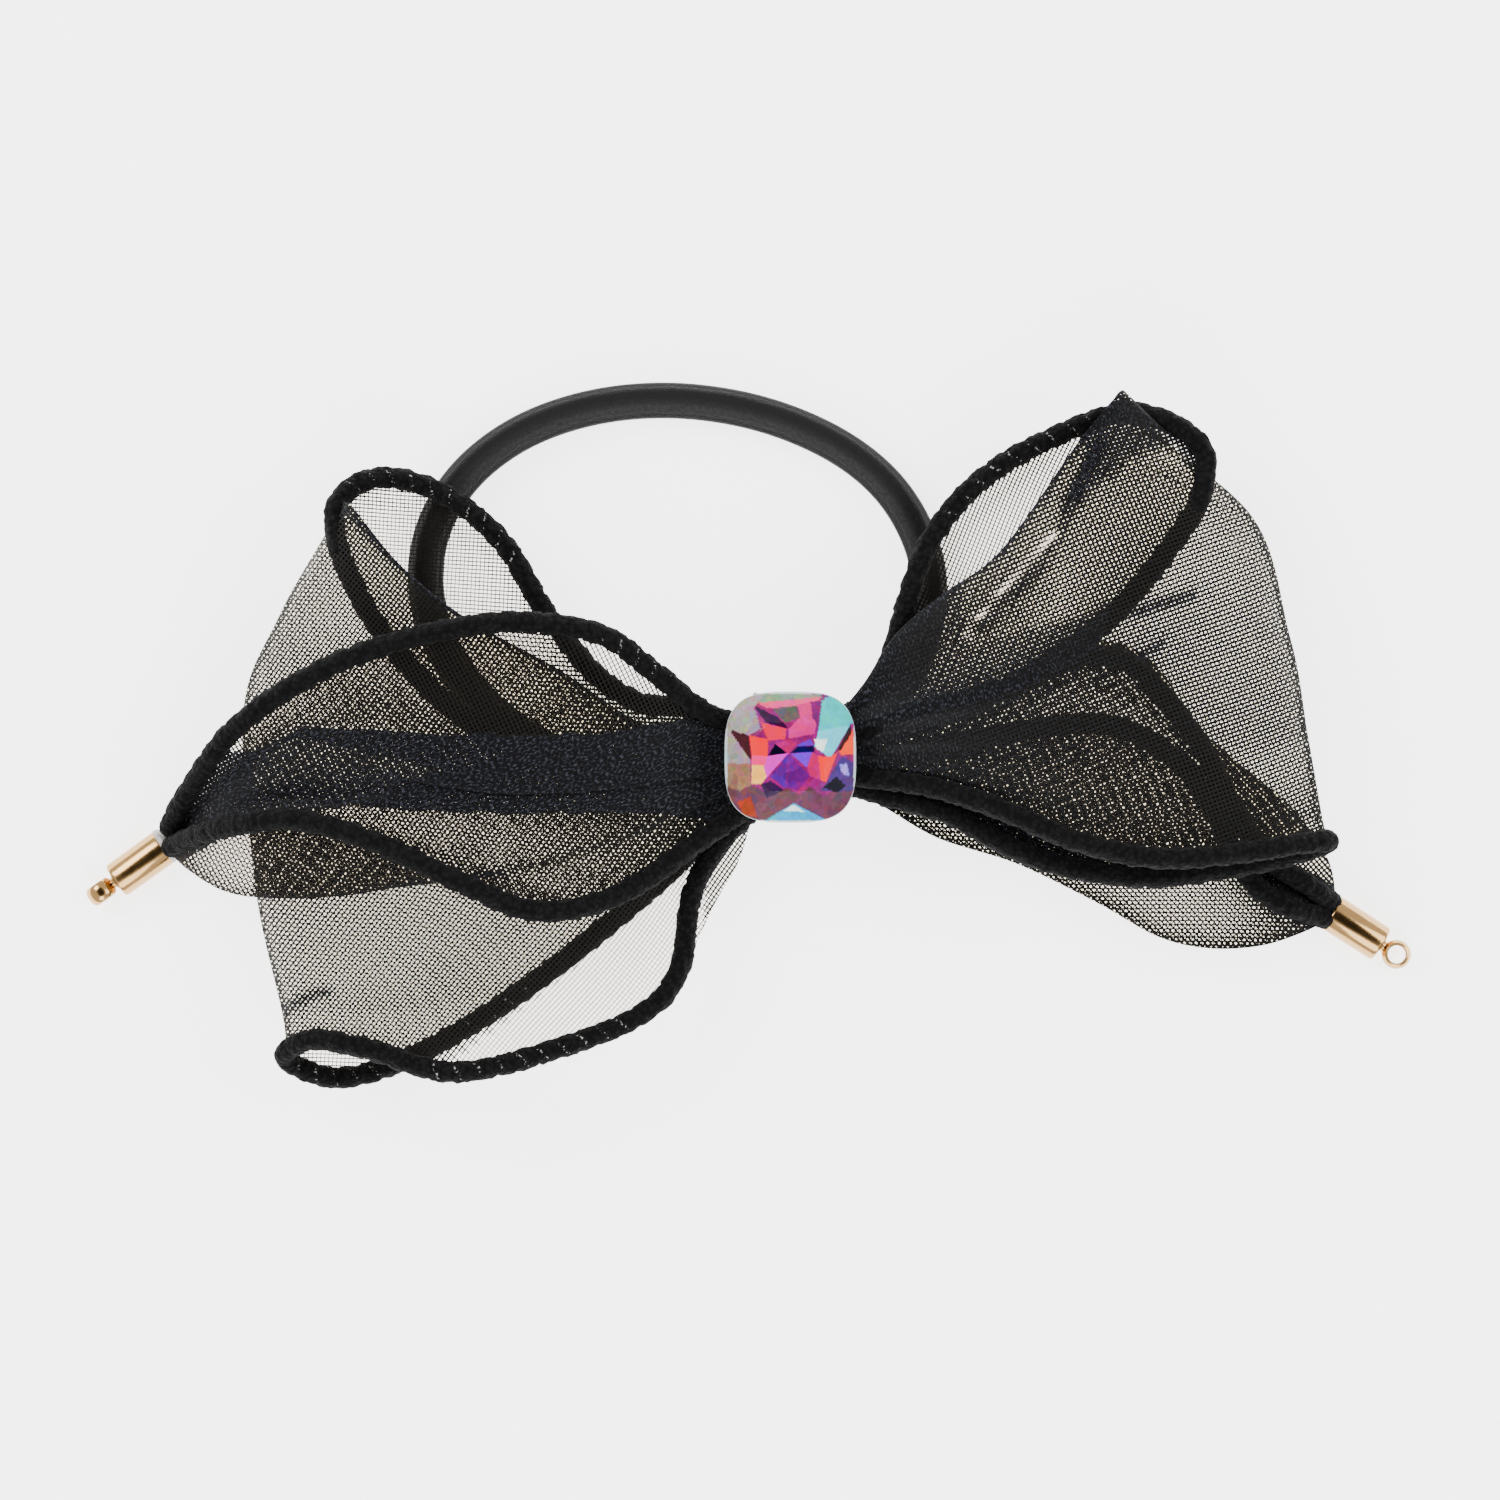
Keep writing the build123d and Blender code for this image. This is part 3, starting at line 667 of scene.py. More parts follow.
def edge_cord(name, rail, stitched=()):
    """Cord along one edge of a ribbon, with sewing thread glinting on the stitched stretches."""
    settings = bpy.context.scene.hairbow_cord
    points = rail if not isinstance(rail[0][0], (tuple, list)) else [*rail[0], *rail[1]]
    made = tube_mesh(
        name, points, settings.diameter / MM / 2, knitted_cord(), rough=0.16, pitch=settings.pitch / MM
    )
    weave = made.data.uv_layers["weave"].data
    flecks = [0.0] * len(made.data.vertices)
    girth = settings.diameter * math.pi
    for loop in made.data.loops:
        u, v = weave[loop.index].uv
        if STITCH_FROM < v / girth < STITCH_TO and any(start * MM < u < end * MM for start, end in stitched):
            flecks[loop.vertex_index] = 1.0
    made.data.attributes["fleck"].data.foreach_set("value", flecks)
    return made


def spun_profile(name, profile, origin, direction, material, steps=40):
    """Turn a profile of (distance along, radius) about a line, as a closed shape."""
    bm = bmesh.new()
    verts = [bm.verts.new((along * MM, reach * MM, 0)) for along, reach in profile]
    edges = [bm.edges.new(pair) for pair in zip(verts, verts[1:])]
    bmesh.ops.spin(
        bm, geom=verts + edges, cent=(0, 0, 0), axis=(1, 0, 0), angle=2 * math.pi, steps=steps, use_merge=True
    )
    close_seams(bm)
    turn = Vector((1, 0, 0)).rotation_difference(Vector(direction))
    bmesh.ops.rotate(bm, verts=bm.verts[:], cent=(0, 0, 0), matrix=turn.to_matrix())
    bmesh.ops.translate(bm, verts=bm.verts[:], vec=Vector(origin))
    made = new_object(name, bm, material)
    made.data.set_sharp_from_angle(angle=SHARP_ANGLE)
    return made


def pleated_band(name, low, high, squareness, ridges, depth, run_in):
    """A closed band of pleated cloth round the X axis, with its ends drawn in by run_in."""
    middle = (Vector(low) + Vector(high)) / 2
    half = (Vector(high) - Vector(low)) / 2
    bm = bmesh.new()
    bmesh.ops.create_grid(bm, x_segments=56, y_segments=120, size=0.5)
    for vert in bm.verts:
        share = vert.co.x * 2
        turn = vert.co.y * 2 * math.pi
        y, z = squircle(turn, 1.0, squareness)
        rim = max((abs(share) - 0.82) / 0.18, 0)
        drawn = 1 - run_in * rim * rim
        if abs(share) > 0.999:
            drawn = 0.0
        ripple = math.sin(ridges * share + 1.3 * math.sin(turn * 2)) + noise.noise((share * 6, y * 2.5, z * 2.5))
        reach = drawn * (1 - depth * (0.5 + 0.5 * ripple))
        vert.co = (
            middle.x + half.x * share * (1 - 0.02 * rim),
            middle.y + half.y * y * reach,
            middle.z + half.z * z * reach,
        )
    close_seams(bm)
    made = new_object(name, bm, packed_cloth())
    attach(made, "knot")
    return made


# ------------------------------------------------------------------ shapes of the ribbons
# Rails run from the knot outwards, in millimetres. A loop's rail has two halves: the back layer
# out to the fold, and the front layer back to the knot.

LEFT_LOOP_TOP = (
    [(-4, 2.4, 7), (-11, 5.2, 6.8), (-16, 5.8, 6.4), (-21, 9, 6.1), (-26.2, 15.5, 6.1), (-31, 23.2, 6.2),
     (-37.5, 28.4, 6.4), (-44, 30, 7.4), (-48.2, 27.6, 9.6)],
    [(-48.4, 23, 11.4), (-45.5, 16.3, 12.3), (-41, 10, 12.4), (-34, 3.6, 12), (-24.6, -0.3, 10.4),
     (-15, -1, 9), (-8, -1.2, 8.4), (-4, -1, 8.2)],
)
LEFT_LOOP_BOTTOM = (
    [(-4, -4.6, 6.8), (-9, -8.6, 6.6), (-15, -14.2, 6.2), (-23.5, -21.2, 5.7), (-33.2, -28.1, 5.3),
     (-42, -32.8, 5.1), (-49, -34.5, 5.5), (-54.2, -32.2, 8)],
    [(-51, -30.2, 11.4), (-44.9, -31.2, 12.8), (-36, -33.6, 13.2), (-25.7, -31.4, 11.3), (-16, -27.6, 8.7),
     (-11.9, -22.8, 7.6), (-10.6, -15, 7.4), (-8, -9.8, 7.6), (-4.4, -6, 8)],
)
LEFT_LOOP_RAILS = [
    LEFT_LOOP_TOP,
    ([(-4, 2.2, 7), (-12, 4.6, 6.2), (-21, 8.2, 5.4), (-31, 21.5, 5.4), (-42, 27.5, 6.2), (-48.6, 26, 9.4)],
     [(-46.9, 26.4, 12.6), (-41.7, 20.5, 13.7), (-34.8, 14.9, 13.7), (-24.6, 9.3, 12.2), (-16, 3.6, 10),
      (-8, 1.4, 8.8), (-4, 0.4, 8.4)]),
    ([(-4, 1, 6.8), (-20, 4.6, 5.4), (-40, 14, 5.3), (-50, 17.5, 6.2), (-54.6, 15.2, 9.4)],
     [(-51, 13.6, 12.6), (-40, 7, 14.3), (-26, 2.4, 12.4), (-12, 0.2, 9.4), (-4, -0.4, 8.4)]),
    ([(-4, 0, 6.8), (-20, 1, 5.3), (-40, 4, 5.2), (-54, 6.5, 6.3), (-58.5, 5.2, 9.3)],
     [(-54, 4.4, 12.4), (-40, 0, 14.4), (-24, -2.4, 12.4), (-12, -2.4, 9.4), (-4, -2, 8.4)]),
    ([(-4, -2, 6.8), (-20, -6, 5.3), (-40, -10, 5.2), (-53, -12.4, 6.3), (-57.4, -13.2, 9.3)],
     [(-53.6, -14, 12.2), (-38, -16, 14), (-22, -9.6, 12), (-12, -5.4, 9.4), (-4, -3.6, 8.3)]),
    ([(-4, -3.6, 6.8), (-20, -13.6, 5.4), (-38, -24, 5.2), (-50, -28.2, 6), (-54.4, -28, 8.6)],
     [(-50.6, -27.4, 11.4), (-38, -27, 13.4), (-22, -22.6, 11.2), (-12.6, -12, 9), (-4.2, -5, 8.2)]),
    LEFT_LOOP_BOTTOM,
    # The ribbon runs a little past its cord near the knot.
    (LEFT_LOOP_BOTTOM[0],
     [(-51, -30.2, 11.3), (-44.9, -31.2, 12.6), (-36, -33.6, 13), (-25.7, -31.4, 11), (-16, -27.8, 8.2),
      (-11.6, -22.9, 7), (-8.2, -16, 6), (-5.6, -11.4, 5.6), (-4.2, -7, 6.4)]),
]
LEFT_LOOP_SHARES = [0.0, 0.13, 0.32, 0.48, 0.68, 0.86, 0.95, 1.0]

LEFT_TAIL_TOP = [
    (-4, 3.4, 8.6), (-9.1, 4.8, 10.6), (-15, 9.5, 12.6), (-20.3, 13.1, 14.2), (-28.9, 14.4, 15.9),
    (-37.5, 13.3, 16.8), (-46, 10.9, 16.8), (-53.5, 7.2, 15.8), (-59.9, 2.4, 12.4), (-64.8, -4, 6.8),
    (-67, -7.8, 3.2),
]
LEFT_TAIL_BOTTOM = [
    (-4, -5, 8.4), (-9.6, -8.9, 10.2), (-18.2, -14.6, 13.2), (-26.8, -16.4, 15.4), (-35.3, -13.2, 16.8),
    (-43.9, -9.1, 17.2), (-52.4, -6.7, 16.2), (-59.5, -7.4, 12.6), (-64.2, -8.6, 7.2), (-66.8, -9.8, 3.4),
]
LEFT_TAIL_RAILS = [
    LEFT_TAIL_TOP,
    [(-4, 2.6, 8.8), (-15, 5, 12.6), (-28, 8, 15.4), (-40, 7, 16.2), (-50, 4.6, 15.6), (-58, 0.6, 12.4),
     (-64.5, -6, 5.6), (-67, -8.4, 2.6)],
    [(-4, 1.6, 9), (-15, 2, 12.6), (-28, 2.6, 15.1), (-36.4, 2.2, 16), (-46, 2.8, 16), (-53.5, 1.6, 14.4),
     (-60, -2.4, 10.2), (-65, -7.2, 4.6), (-67.2, -8.8, 2.2)],
    [(-4, -1, 9), (-15, -3, 12.4), (-28, -4, 14.8), (-36.4, -3.2, 15.7), (-46, -1.4, 15.4), (-54, -2.6, 13.6),
     (-60, -4.6, 9.8), (-65, -7.8, 4.4), (-67.2, -9, 2.1)],
    [(-4, 0.6, 8.8), (-15, 1, 12), (-28, 0.6, 14.3), (-36.4, -1.6, 15.2), (-46, -4, 14.9), (-54, -4.6, 13.2),
     (-60, -6, 9.6), (-65, -8.4, 4.2), (-67.2, -9.1, 2.1)],
    [(-4, -2.4, 8.8), (-15, -4.4, 12), (-28, -5.6, 14.4), (-36.4, -5.2, 15.2), (-46, -6, 15.2), (-54, -6.4, 13.4),
     (-60, -7.4, 9.8), (-65, -8.8, 4.4), (-67.2, -9.3, 2.1)],
    [(-4, -3.8, 8.4), (-10, -7.4, 9.8), (-18.2, -13.2, 12.5), (-26.8, -15.2, 14.6), (-35.3, -13.2, 15.6),
     (-41, -13.8, 15.2), (-47, -14.8, 14.2), (-54, -15.2, 12), (-60.2, -14.6, 8.4), (-64.8, -12.2, 4.6),
     (-67, -10.2, 2.2)],
    LEFT_TAIL_BOTTOM,
]
LEFT_TAIL_SHARES = [0.0, 0.14, 0.28, 0.4, 0.52, 0.62, 0.86, 1.0]

RIGHT_LOOP_TOP = (
    [(4, 3.4, 8.8), (8.5, 6.3, 9.6), (11, 11.4, 10), (12.6, 17, 10), (15, 23.2, 10), (19.8, 29.1, 10.1),
     (26.8, 33.6, 10.3), (36.4, 36.8, 11.2), (43.6, 33.4, 13)],
    [(43.6, 27.5, 14), (39, 20.5, 14.4), (33.2, 14.1, 13.8), (24.6, 8.2, 12.2), (15, 4, 11), (7, 2, 10),
     (4, 1.5, 9.6)],
)
RIGHT_LOOP_BOTTOM = (
    [(4, -2.4, 8.6), (11.8, -4.6, 9.1), (17.1, -6.2, 9.3), (23.5, -9.6, 9.4), (30, -11.9, 9.4),
     (38.5, -12.9, 9.4), (47, -11.9, 9.5), (54, -10.4, 9.8), (57.6, -9, 11.4)],
    [(54.6, -9.2, 13.6), (47, -10.3, 15.3), (38.5, -10.7, 15.8), (30, -8.8, 14.9), (22.5, -5.6, 13.7),
     (15, -3.2, 12), (8, -2.2, 10.4), (4, -2, 9.6)],
)
RIGHT_LOOP_RAILS = [
    RIGHT_LOOP_TOP,
    ([(4, 3, 8.8), (9.6, 6.6, 9.4), (13.4, 14, 9.5), (18, 24.4, 9.4), (27, 32, 9.6), (35, 37.2, 11.6)],
     [(35.2, 38.9, 13.6), (30.5, 33.4, 15.4), (22.5, 22.1, 14.4), (16.1, 17.3, 13), (11.2, 13.1, 11.8),
      (7.7, 7.7, 10.6), (4, 3.2, 9.8)]),
    ([(4, 1.8, 8.8), (14, 9, 9.2), (26, 20, 9), (39, 28.6, 9.4), (49, 26, 12.2)],
     [(45, 22, 15.6), (34, 15.5, 16.6), (22, 9.4, 14.8), (12, 5.4, 12), (4, 2, 9.8)]),
    ([(4, 0.8, 8.8), (15, 5, 9), (30, 12, 8.8), (46, 15.6, 9.2), (53.4, 12.8, 12.2)],
     [(49, 10.5, 15.6), (36, 7.5, 16.6), (22, 4.5, 14.6), (11, 2.2, 11.8), (4, 0.6, 9.8)]),
    ([(4, -0.6, 8.8), (15, 0, 9), (32, 1.5, 8.7), (48, 2.4, 9.2), (55.4, 2, 12)],
     [(50.4, 1, 15), (36, -0.6, 16), (22, -0.4, 14.4), (11, -0.4, 11.8), (4, -0.8, 9.8)]),
    ([(4, -1.8, 8.7), (14, -4, 8.9), (30, -8.8, 8.8), (47, -8.6, 9), (56.8, -6.4, 10.8)],
     [(50.4, -7.2, 13.2), (38, -8.4, 14.8), (25, -4.8, 13.6), (12, -1.8, 11.2), (4, -2, 9.6)]),
    RIGHT_LOOP_BOTTOM,
]
RIGHT_LOOP_SHARES = [0.0, 0.14, 0.36, 0.56, 0.76, 0.92, 1.0]

RIGHT_TAIL_TOP = [
    (4, 2.4, 7.2), (13, 4.6, 7.2), (22.5, 7.2, 6.9), (31, 10.6, 6.9), (36, 10.3, 6.9), (40.2, 6.4, 6.9),
    (44.4, 0.7, 6.9), (48, -6, 6.8), (51.2, -10.8, 6.4), (55.6, -13.6, 5.2), (58.6, -15.8, 2.6),
]
RIGHT_TAIL_BOTTOM = [
    (4, -1, 7.2), (13, 0.6, 7.4), (22.5, 2.4, 7), (31, 3.6, 6.9), (36.4, 2.8, 6.9), (41.6, -0.4, 6.9),
    (45, -4.8, 7), (47, -9, 7), (49.6, -13.4, 6.6), (53.4, -16, 5.6), (58, -17.4, 2.8),
]
RIGHT_TAIL_RAILS = [
    RIGHT_TAIL_TOP,
    [(4, 2, 7), (13, 4.8, 6.4), (24, 8.6, 5.9), (33, 12, 5.8), (39, 9.8, 5.8), (43.4, 3.6, 5.8), (48, -0.4, 5.7),
     (54, -5.4, 5.3), (58, -11, 4.4), (59, -15.6, 2.4)],
    [(4, 0.8, 6.8), (14, 2, 5.8), (28, 3.6, 5.2), (38, 0, 5.1), (46, -5, 5), (54, -10.6, 4.6), (58.8, -16.2, 2.1)],
    [(4, -0.8, 6.8), (14, -1.6, 5.7), (26, -3.6, 5.2), (37, -8, 5.1), (46, -12.6, 5), (54, -15, 4.4),
     (58.7, -16.6, 2)],
    [(4, -2, 6.8), (10.2, -5.3, 6.2), (16.1, -8.7, 5.6), (24.6, -11.5, 5.2), (33.2, -15.7, 5.1),
     (39.6, -19.3, 5.1), (45, -20.6, 5), (50.4, -20.4, 4.8), (55, -19, 4), (58.5, -17.3, 2.2)],
    [(4, -1.6, 7), (14, -3.4, 6.5), (26, -4, 6.3), (36, -7, 6.3), (44, -11.4, 6.2), (52, -16.8, 5.3),
     (58.3, -17.4, 2.5)],
    RIGHT_TAIL_BOTTOM,
]
RIGHT_TAIL_SHARES = [0.0, 0.12, 0.3, 0.48, 0.7, 0.86, 1.0]

# Plan outlines and lines where a ribbon is folded over again. The two shaded outlines are the exception: they are
# painted shade, and draw the front layer denser where shade falls.
FRONT_FOLD_LEFT = [(-47.6, 26.6), (-41.7, 20.5), (-34.8, 14.9), (-24.6, 9.3), (-16, 3.6), (-8, 1.4)]
FRONT_FOLD_RIGHT = [(35.2, 38.9), (30.5, 33.4), (22.5, 22.1), (16.1, 17.3), (11.2, 13.1), (7.7, 7.7)]
LOWER_WINDOW = [(-38, -33.6), (-30, -27.4), (-20, -20), (-12, -12), (-9, -12), (-9.5, -24), (-18, -30), (-30, -34)]
TAIL_BAND = [
    (-5, 5), (-7.7, 4.5), (-14.7, 3.5), (-19.9, 2.4), (-35.9, 2.4), (-51.6, 3.1), (-53.7, 2.2), (-43.2, 0.3),
    (-37, -1.4), (-43.2, -3.8), (-47.7, -4.9), (-40.4, -5.6), (-28.6, -5.9), (-14.7, -5.9), (-5, -7),
]
TAIL_FAN = [
    (-62, -3), (-58, 0), (-53.7, 2.2), (-43.2, 0.3), (-37, -1.4), (-43.2, -3.8), (-47.7, -5.4), (-56, -6.6),
    (-62, -8),
]
TAIL_FLAP = [(-57, -7), (-45, -7), (-34, -11), (-24, -15), (-30, -18), (-45, -18), (-57.5, -17)]
SHADED_ROOT = [
    (5, 6), (9.6, 11.4), (13.3, 15.8), (18, 18.5), (18.7, 11.8), (22.4, 12.6), (26.8, 13.8), (31.2, 15),
    (34.2, 16.8), (32.5, 11.4), (24.4, 7.2), (9.6, 3.5), (5, 2),
]
SHADED_TOP = [
    (28, 25), (31, 31), (31.7, 35.5), (36, 38.5), (44, 34), (43.4, 29.5), (41, 33.3), (36.5, 32.3), (31.5, 28.2),
]
CORD_GAP = [
    (5, -2), (9, -2.5), (21, -4.5), (27, -7), (34, -9.2), (41, -10.2), (48, -10.2), (48, -12), (38, -12.9),
    (30, -11.9), (21, -8), (9, -3.5), (5, -3),
]
LEFT_END = [(-68, -9), (-67, -5), (-64, -2), (-60, 0.5), (-57.4, 0.5), (-57.4, -6.4), (-61, -8.5), (-66, -11.6)]
RIGHT_STRIP = [(5, -3), (10, -4.6), (20, -7.6), (30, -11.6), (38, -12.9), (49, -13), (52, -19), (40, -20.5), (5, -6)]
RIGHT_END = [(46.8, -9), (51, -10.8), (57, -13), (60, -15), (60, -18.6), (55, -18), (50, -15.2), (46.5, -11)]
UPPER_TAIL_FOLD = [
    (8, 5), (22, 8), (31, 11.8), (38, 11), (44, 3.4), (50, -2), (57, -9), (52, -10), (45, -3), (39, 5), (31, 8),
    (20, 4), (8, 2),
]

ELASTIC_RING = [
    (0, 0), (-6.8, -2.5), (-14.4, -2.9), (-22.4, -1.1), (-29.8, 2.6), (-35.6, 8.2), (-39.2, 15.2),
    (-39.4, 22.9), (-36.0, 29.8), (-29.8, 34.9), (-22.0, 37.8), (-13.5, 38.7), (-5.0, 37.7), (2.4, 35.2),
    (8.4, 31.6), (12.6, 26.9), (15.2, 20.6), (14.9, 13.8), (12.0, 7.4), (6.8, 2.5), (0, 0),
]
ELASTIC_HEIGHT = 2.6

# Painted reflections: the colours that the foil and coating throw, with near-white patches as painted highlights,
# as patches of the crown from -1 to 1 each way. Later patches lie on top.
PAINTED_REFLECTIONS = (
    ("#bcb8b4", ((-1.1, 1.1), (-0.3, 1.1), (-0.55, 0.76), (-0.45, 0.43), (-0.63, 0.33), (-0.61, -0.1), (-1.1, -0.1))),
    ("#a8b8a8", ((-0.55, 0.76), (-0.3, 1.1), (0.5, 1.1), (0.48, 0.9), (-0.5, 0.82))),
    ("#b89a84", ((-1.1, -0.1), (-0.61, -0.1), (-0.6, -0.42), (-0.9, -0.6), (-1.1, -0.5))),
    ("#957080", ((-1.1, -0.4), (-0.76, -0.52), (-0.6, -0.42), (-0.3, -0.58), (-0.03, -0.46),
                 (0.05, -0.7), (-0.37, -1.1),
                 (-1.1, -1.1))),
    ("#c46a44", ((-0.82, -0.7), (-0.6, -0.6), (-0.5, -0.92), (-0.7, -0.88))),
    ("#6a4a78", ((-0.45, -0.42), (-0.3, -0.36), (-0.1, -0.5), (-0.35, -0.62))),
    ("#946a80", ((-0.03, -0.46), (0.12, -0.58), (0.3, -0.44), (0.5, -0.6), (0.8, -0.42), (1.1, -0.3), (1.1, -1.1),
                 (0.5, -0.95), (0.05, -0.7))),
    ("#00c6e2", ((0.05, -0.7), (0.56, -0.96), (0.5, -1.1), (-0.4, -1.1), (-0.37, -0.95))),
    ("#e8f6f8", ((0.05, -0.72), (0.22, -0.83), (-0.14, -0.83))),
    ("#f07cae", ((-0.5, 0.82), (0.48, 0.92), (0.4, 0.76), (-0.37, 0.74))),
    ("#8a8a86", ((-0.28, 0.74), (0.1, 0.78), (0.15, 0.6), (-0.08, 0.52))),
    ("#e455ac", ((0.1, 0.8), (0.47, 0.86), (0.36, 0.35), (-0.03, 0.28), (-0.03, 0.43), (0.15, 0.6))),
    ("#a03c98", ((0.3, 0.84), (0.47, 0.86), (0.4, 0.5), (0.34, 0.6))),
    ("#24dcdc", ((0.48, 0.86), (0.8, 1.1), (1.1, 0.6), (0.91, 0.49), (0.42, 0.39))),
    ("#8ce6f0", ((0.42, 0.39), (0.91, 0.49), (0.70, 0.14), (0.60, -0.02), (0.36, 0.16))),
    ("#fafefe", ((0.36, 0.27), (0.56, 0.27), (0.5, 0.08), (0.4, 0.12))),
    ("#6c2a6c", ((-0.55, 0.78), (-0.18, 0.6), (-0.03, 0.43), (-0.36, 0.52))),
    ("#f0307c", ((-0.45, 0.53), (-0.06, 0.43), (-0.08, 0.27), (-0.34, 0.25))),
    ("#f83c58", ((-0.63, 0.33), (-0.34, 0.27), (-0.34, 0.02), (-0.59, 0.02))),
    ("#722a48", ((-0.92, 0.41), (-0.63, 0.33), (-0.59, -0.06), (-0.7, 0.08))),
    ("#fa4aa8", ((-0.59, 0.02), (-0.34, 0.02), (-0.39, -0.12), (-0.59, -0.12))),
    ("#ffd888", ((-0.59, -0.12), (-0.39, -0.12), (-0.36, -0.31), (-0.45, -0.41), (-0.59, -0.41))),
    ("#ea00dc", ((-0.34, 0.02), (-0.03, 0.06), (-0.36, -0.31), (-0.4, -0.14))),
    ("#341450", ((-0.34, 0.02), (-0.23, 0.2), (-0.06, 0.06))),
    ("#cc3c98", ((-0.23, 0.2), (-0.03, 0.28), (0.1, 0.2), (-0.03, 0.06))),
    ("#9a30dc", ((0.06, 0.16), (0.31, 0.28), (0.36, 0.18))),
    ("#40207c", ((0.0, 0.06), (0.11, 0.16), (0.36, 0.17), (0.36, 0.08))),
    ("#a41ce6", ((0.0, 0.05), (0.33, 0.08), (0.25, -0.16))),
    ("#8c3cb4", ((-0.03, 0.06), (-0.3, -0.3), (-0.08, -0.47))),
    ("#9c2ca8", ((-0.03, 0.06), (0.29, -0.29), (0.12, -0.5), (-0.06, -0.47))),
    ("#d83a98", ((0.33, 0.08), (0.42, 0.02), (0.46, -0.35), (0.29, -0.29), (0.25, -0.16))),
    ("#fc5c54", ((0.42, 0.02), (0.60, 0.0), (0.72, 0.08), (0.54, -0.38), (0.46, -0.35))),
    ("#ff8244", ((0.91, 0.49), (0.99, 0.22), (0.99, 0.06), (0.79, 0.02), (0.72, 0.1))),
    ("#6a2040", ((0.91, 0.49), (0.93, 0.36), (0.76, 0.1), (0.72, 0.12))),
    ("#e04468", ((0.93, 0.45), (1.1, 0.4), (1.1, -0.5), (0.98, -0.3), (0.98, 0.1))),
    ("#7c62a0", ((0.54, -0.38), (0.79, 0.02), (0.98, -0.1), (0.96, -0.52), (0.45, -0.52))),
    ("#b8b0f0", ((0.74, -0.1), (0.86, -0.1), (0.9, -0.3), (0.78, -0.24))),
    ("#30224c", ((0.5, -0.46), (0.7, -0.3), (0.84, -0.44), (0.7, -0.54))),
)
CUT_DIRECTIONS = [math.radians(22.5 * step) for step in range(16)]

# Each cap: the place of its mouth, and the way it points.
CAPS = {"left": ((-67.6, -9.7), (-0.812, -0.584)), "right": ((58.5, -16.8), (0.84, -0.543))}
CAP_HEIGHT = 1.9


# ------------------------------------------------------------------ operators


class HAIRBOW_OT_elastic(Operator):
    """Knit the hair elastic, one ring that runs through the wrap"""

    bl_idname = "hairbow.elastic"
    bl_label = "Hair Elastic"

    def execute(self, context):
        settings = context.scene.hairbow_elastic
        curve = bpy.data.curves.new("elastic_line", "CURVE")
        curve.dimensions = "3D"
        spline = curve.splines.new("NURBS")
        spline.points.add(len(ELASTIC_RING) - 1)
        for point, (x, y) in zip(spline.points, ELASTIC_RING):
            point.co = (x * MM, y * MM, ELASTIC_HEIGHT * MM, 1)
        spline.order_u = 3
        spline.use_endpoint_u = True
        spline.resolution_u = 12
        holder = bpy.data.objects.new("elastic_line", curve)
        line = [vert.co / MM for vert in bpy.data.meshes.new_from_object(holder).vertices]
        bpy.data.objects.remove(holder)
        radius = settings.diameter / MM / 2
        made = tube_mesh(
            "elastic_ring", line, radius, knitted_elastic(), around=36, flatten=0.93,
            grooves=((1.75, 0.16), (0.75, 0.08), (2.6, 0.07)), step=0.5,
        )
        nodes = [f"elastic_{stretch}_{layer}" for stretch in ("left", "far", "right") for layer in ("sheath", "core")]
        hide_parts(*nodes)
        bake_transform(made)
        return {"FINISHED"}


def dress_ribbon(piece, rails, shares, edges, bodies, hinge_x, flat, stitched_top=(), stitched_bottom=(), **shape):
    """Make one ribbon sheet with its two corded edges, and bend them over the hinge."""
    sheet = ribbon_sheet(f"{piece}_organza", rails, shares, **shape)
    top = edge_cord(f"{piece}_top_edge", edges[0], stitched_top)
    bottom = edge_cord(f"{piece}_bottom_edge", edges[1], stitched_bottom)
    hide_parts(f"{piece}_ribbon")
    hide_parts(f"{piece}_top_cord")
    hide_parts(f"{piece}_bottom_cord")
    for made in (sheet, top, bottom):
        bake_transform(made)


class HAIRBOW_OT_left_loop(Operator):
    """Loft the left loop and its corded edges"""

    bl_idname = "hairbow.left_loop"
    bl_label = "Left Loop"

    def execute(self, context):
        dress_ribbon(
            "left_loop", LEFT_LOOP_RAILS, LEFT_LOOP_SHARES, (LEFT_LOOP_TOP, LEFT_LOOP_BOTTOM),
            ("knot", "left_loop"), -HINGE_OUT, (0.060, 0.115), stitched_top=((32, 55),),
            stitched_bottom=((30, 40), (49, 60), (79, 101)), layers=(1.0, 2.0), bias=(4, -52),
            pleats=(("front", LOWER_WINDOW, 0.38),),
            creases=(
                ("front", FRONT_FOLD_LEFT, 0.35, 2.6),
                ("front", [(-54, -27), (-51.6, -25.6), (-49.4, -25)], 0.4, 2.6),
            ),
        )
        return {"FINISHED"}


class HAIRBOW_OT_left_tail(Operator):
    """Loft the left tail and its corded edges"""

    bl_idname = "hairbow.left_tail"
    bl_label = "Left Tail"

    def execute(self, context):
        dress_ribbon(
            "left_tail", LEFT_TAIL_RAILS, LEFT_TAIL_SHARES, (LEFT_TAIL_TOP, LEFT_TAIL_BOTTOM),
            ("left_loop", "left_tail"), -HINGE_OUT, (0.060, 0.068), stitched_top=((11, 20),), layers=(1.0, 1.0),
            bias=(62, 20), turned=0.86, pleats=(
                ("both", TAIL_BAND, 8.0), ("both", TAIL_FAN, 3.4), ("both", TAIL_FLAP, 1.7), ("both", LEFT_END, 4.0),
            ),
            creases=(("both", [(-13, -6.6), (-17, -8.4), (-21.6, -9.9), (-26.9, -11.5), (-33.5, -12.7)], 0.4, 2.4),),
        )
        return {"FINISHED"}


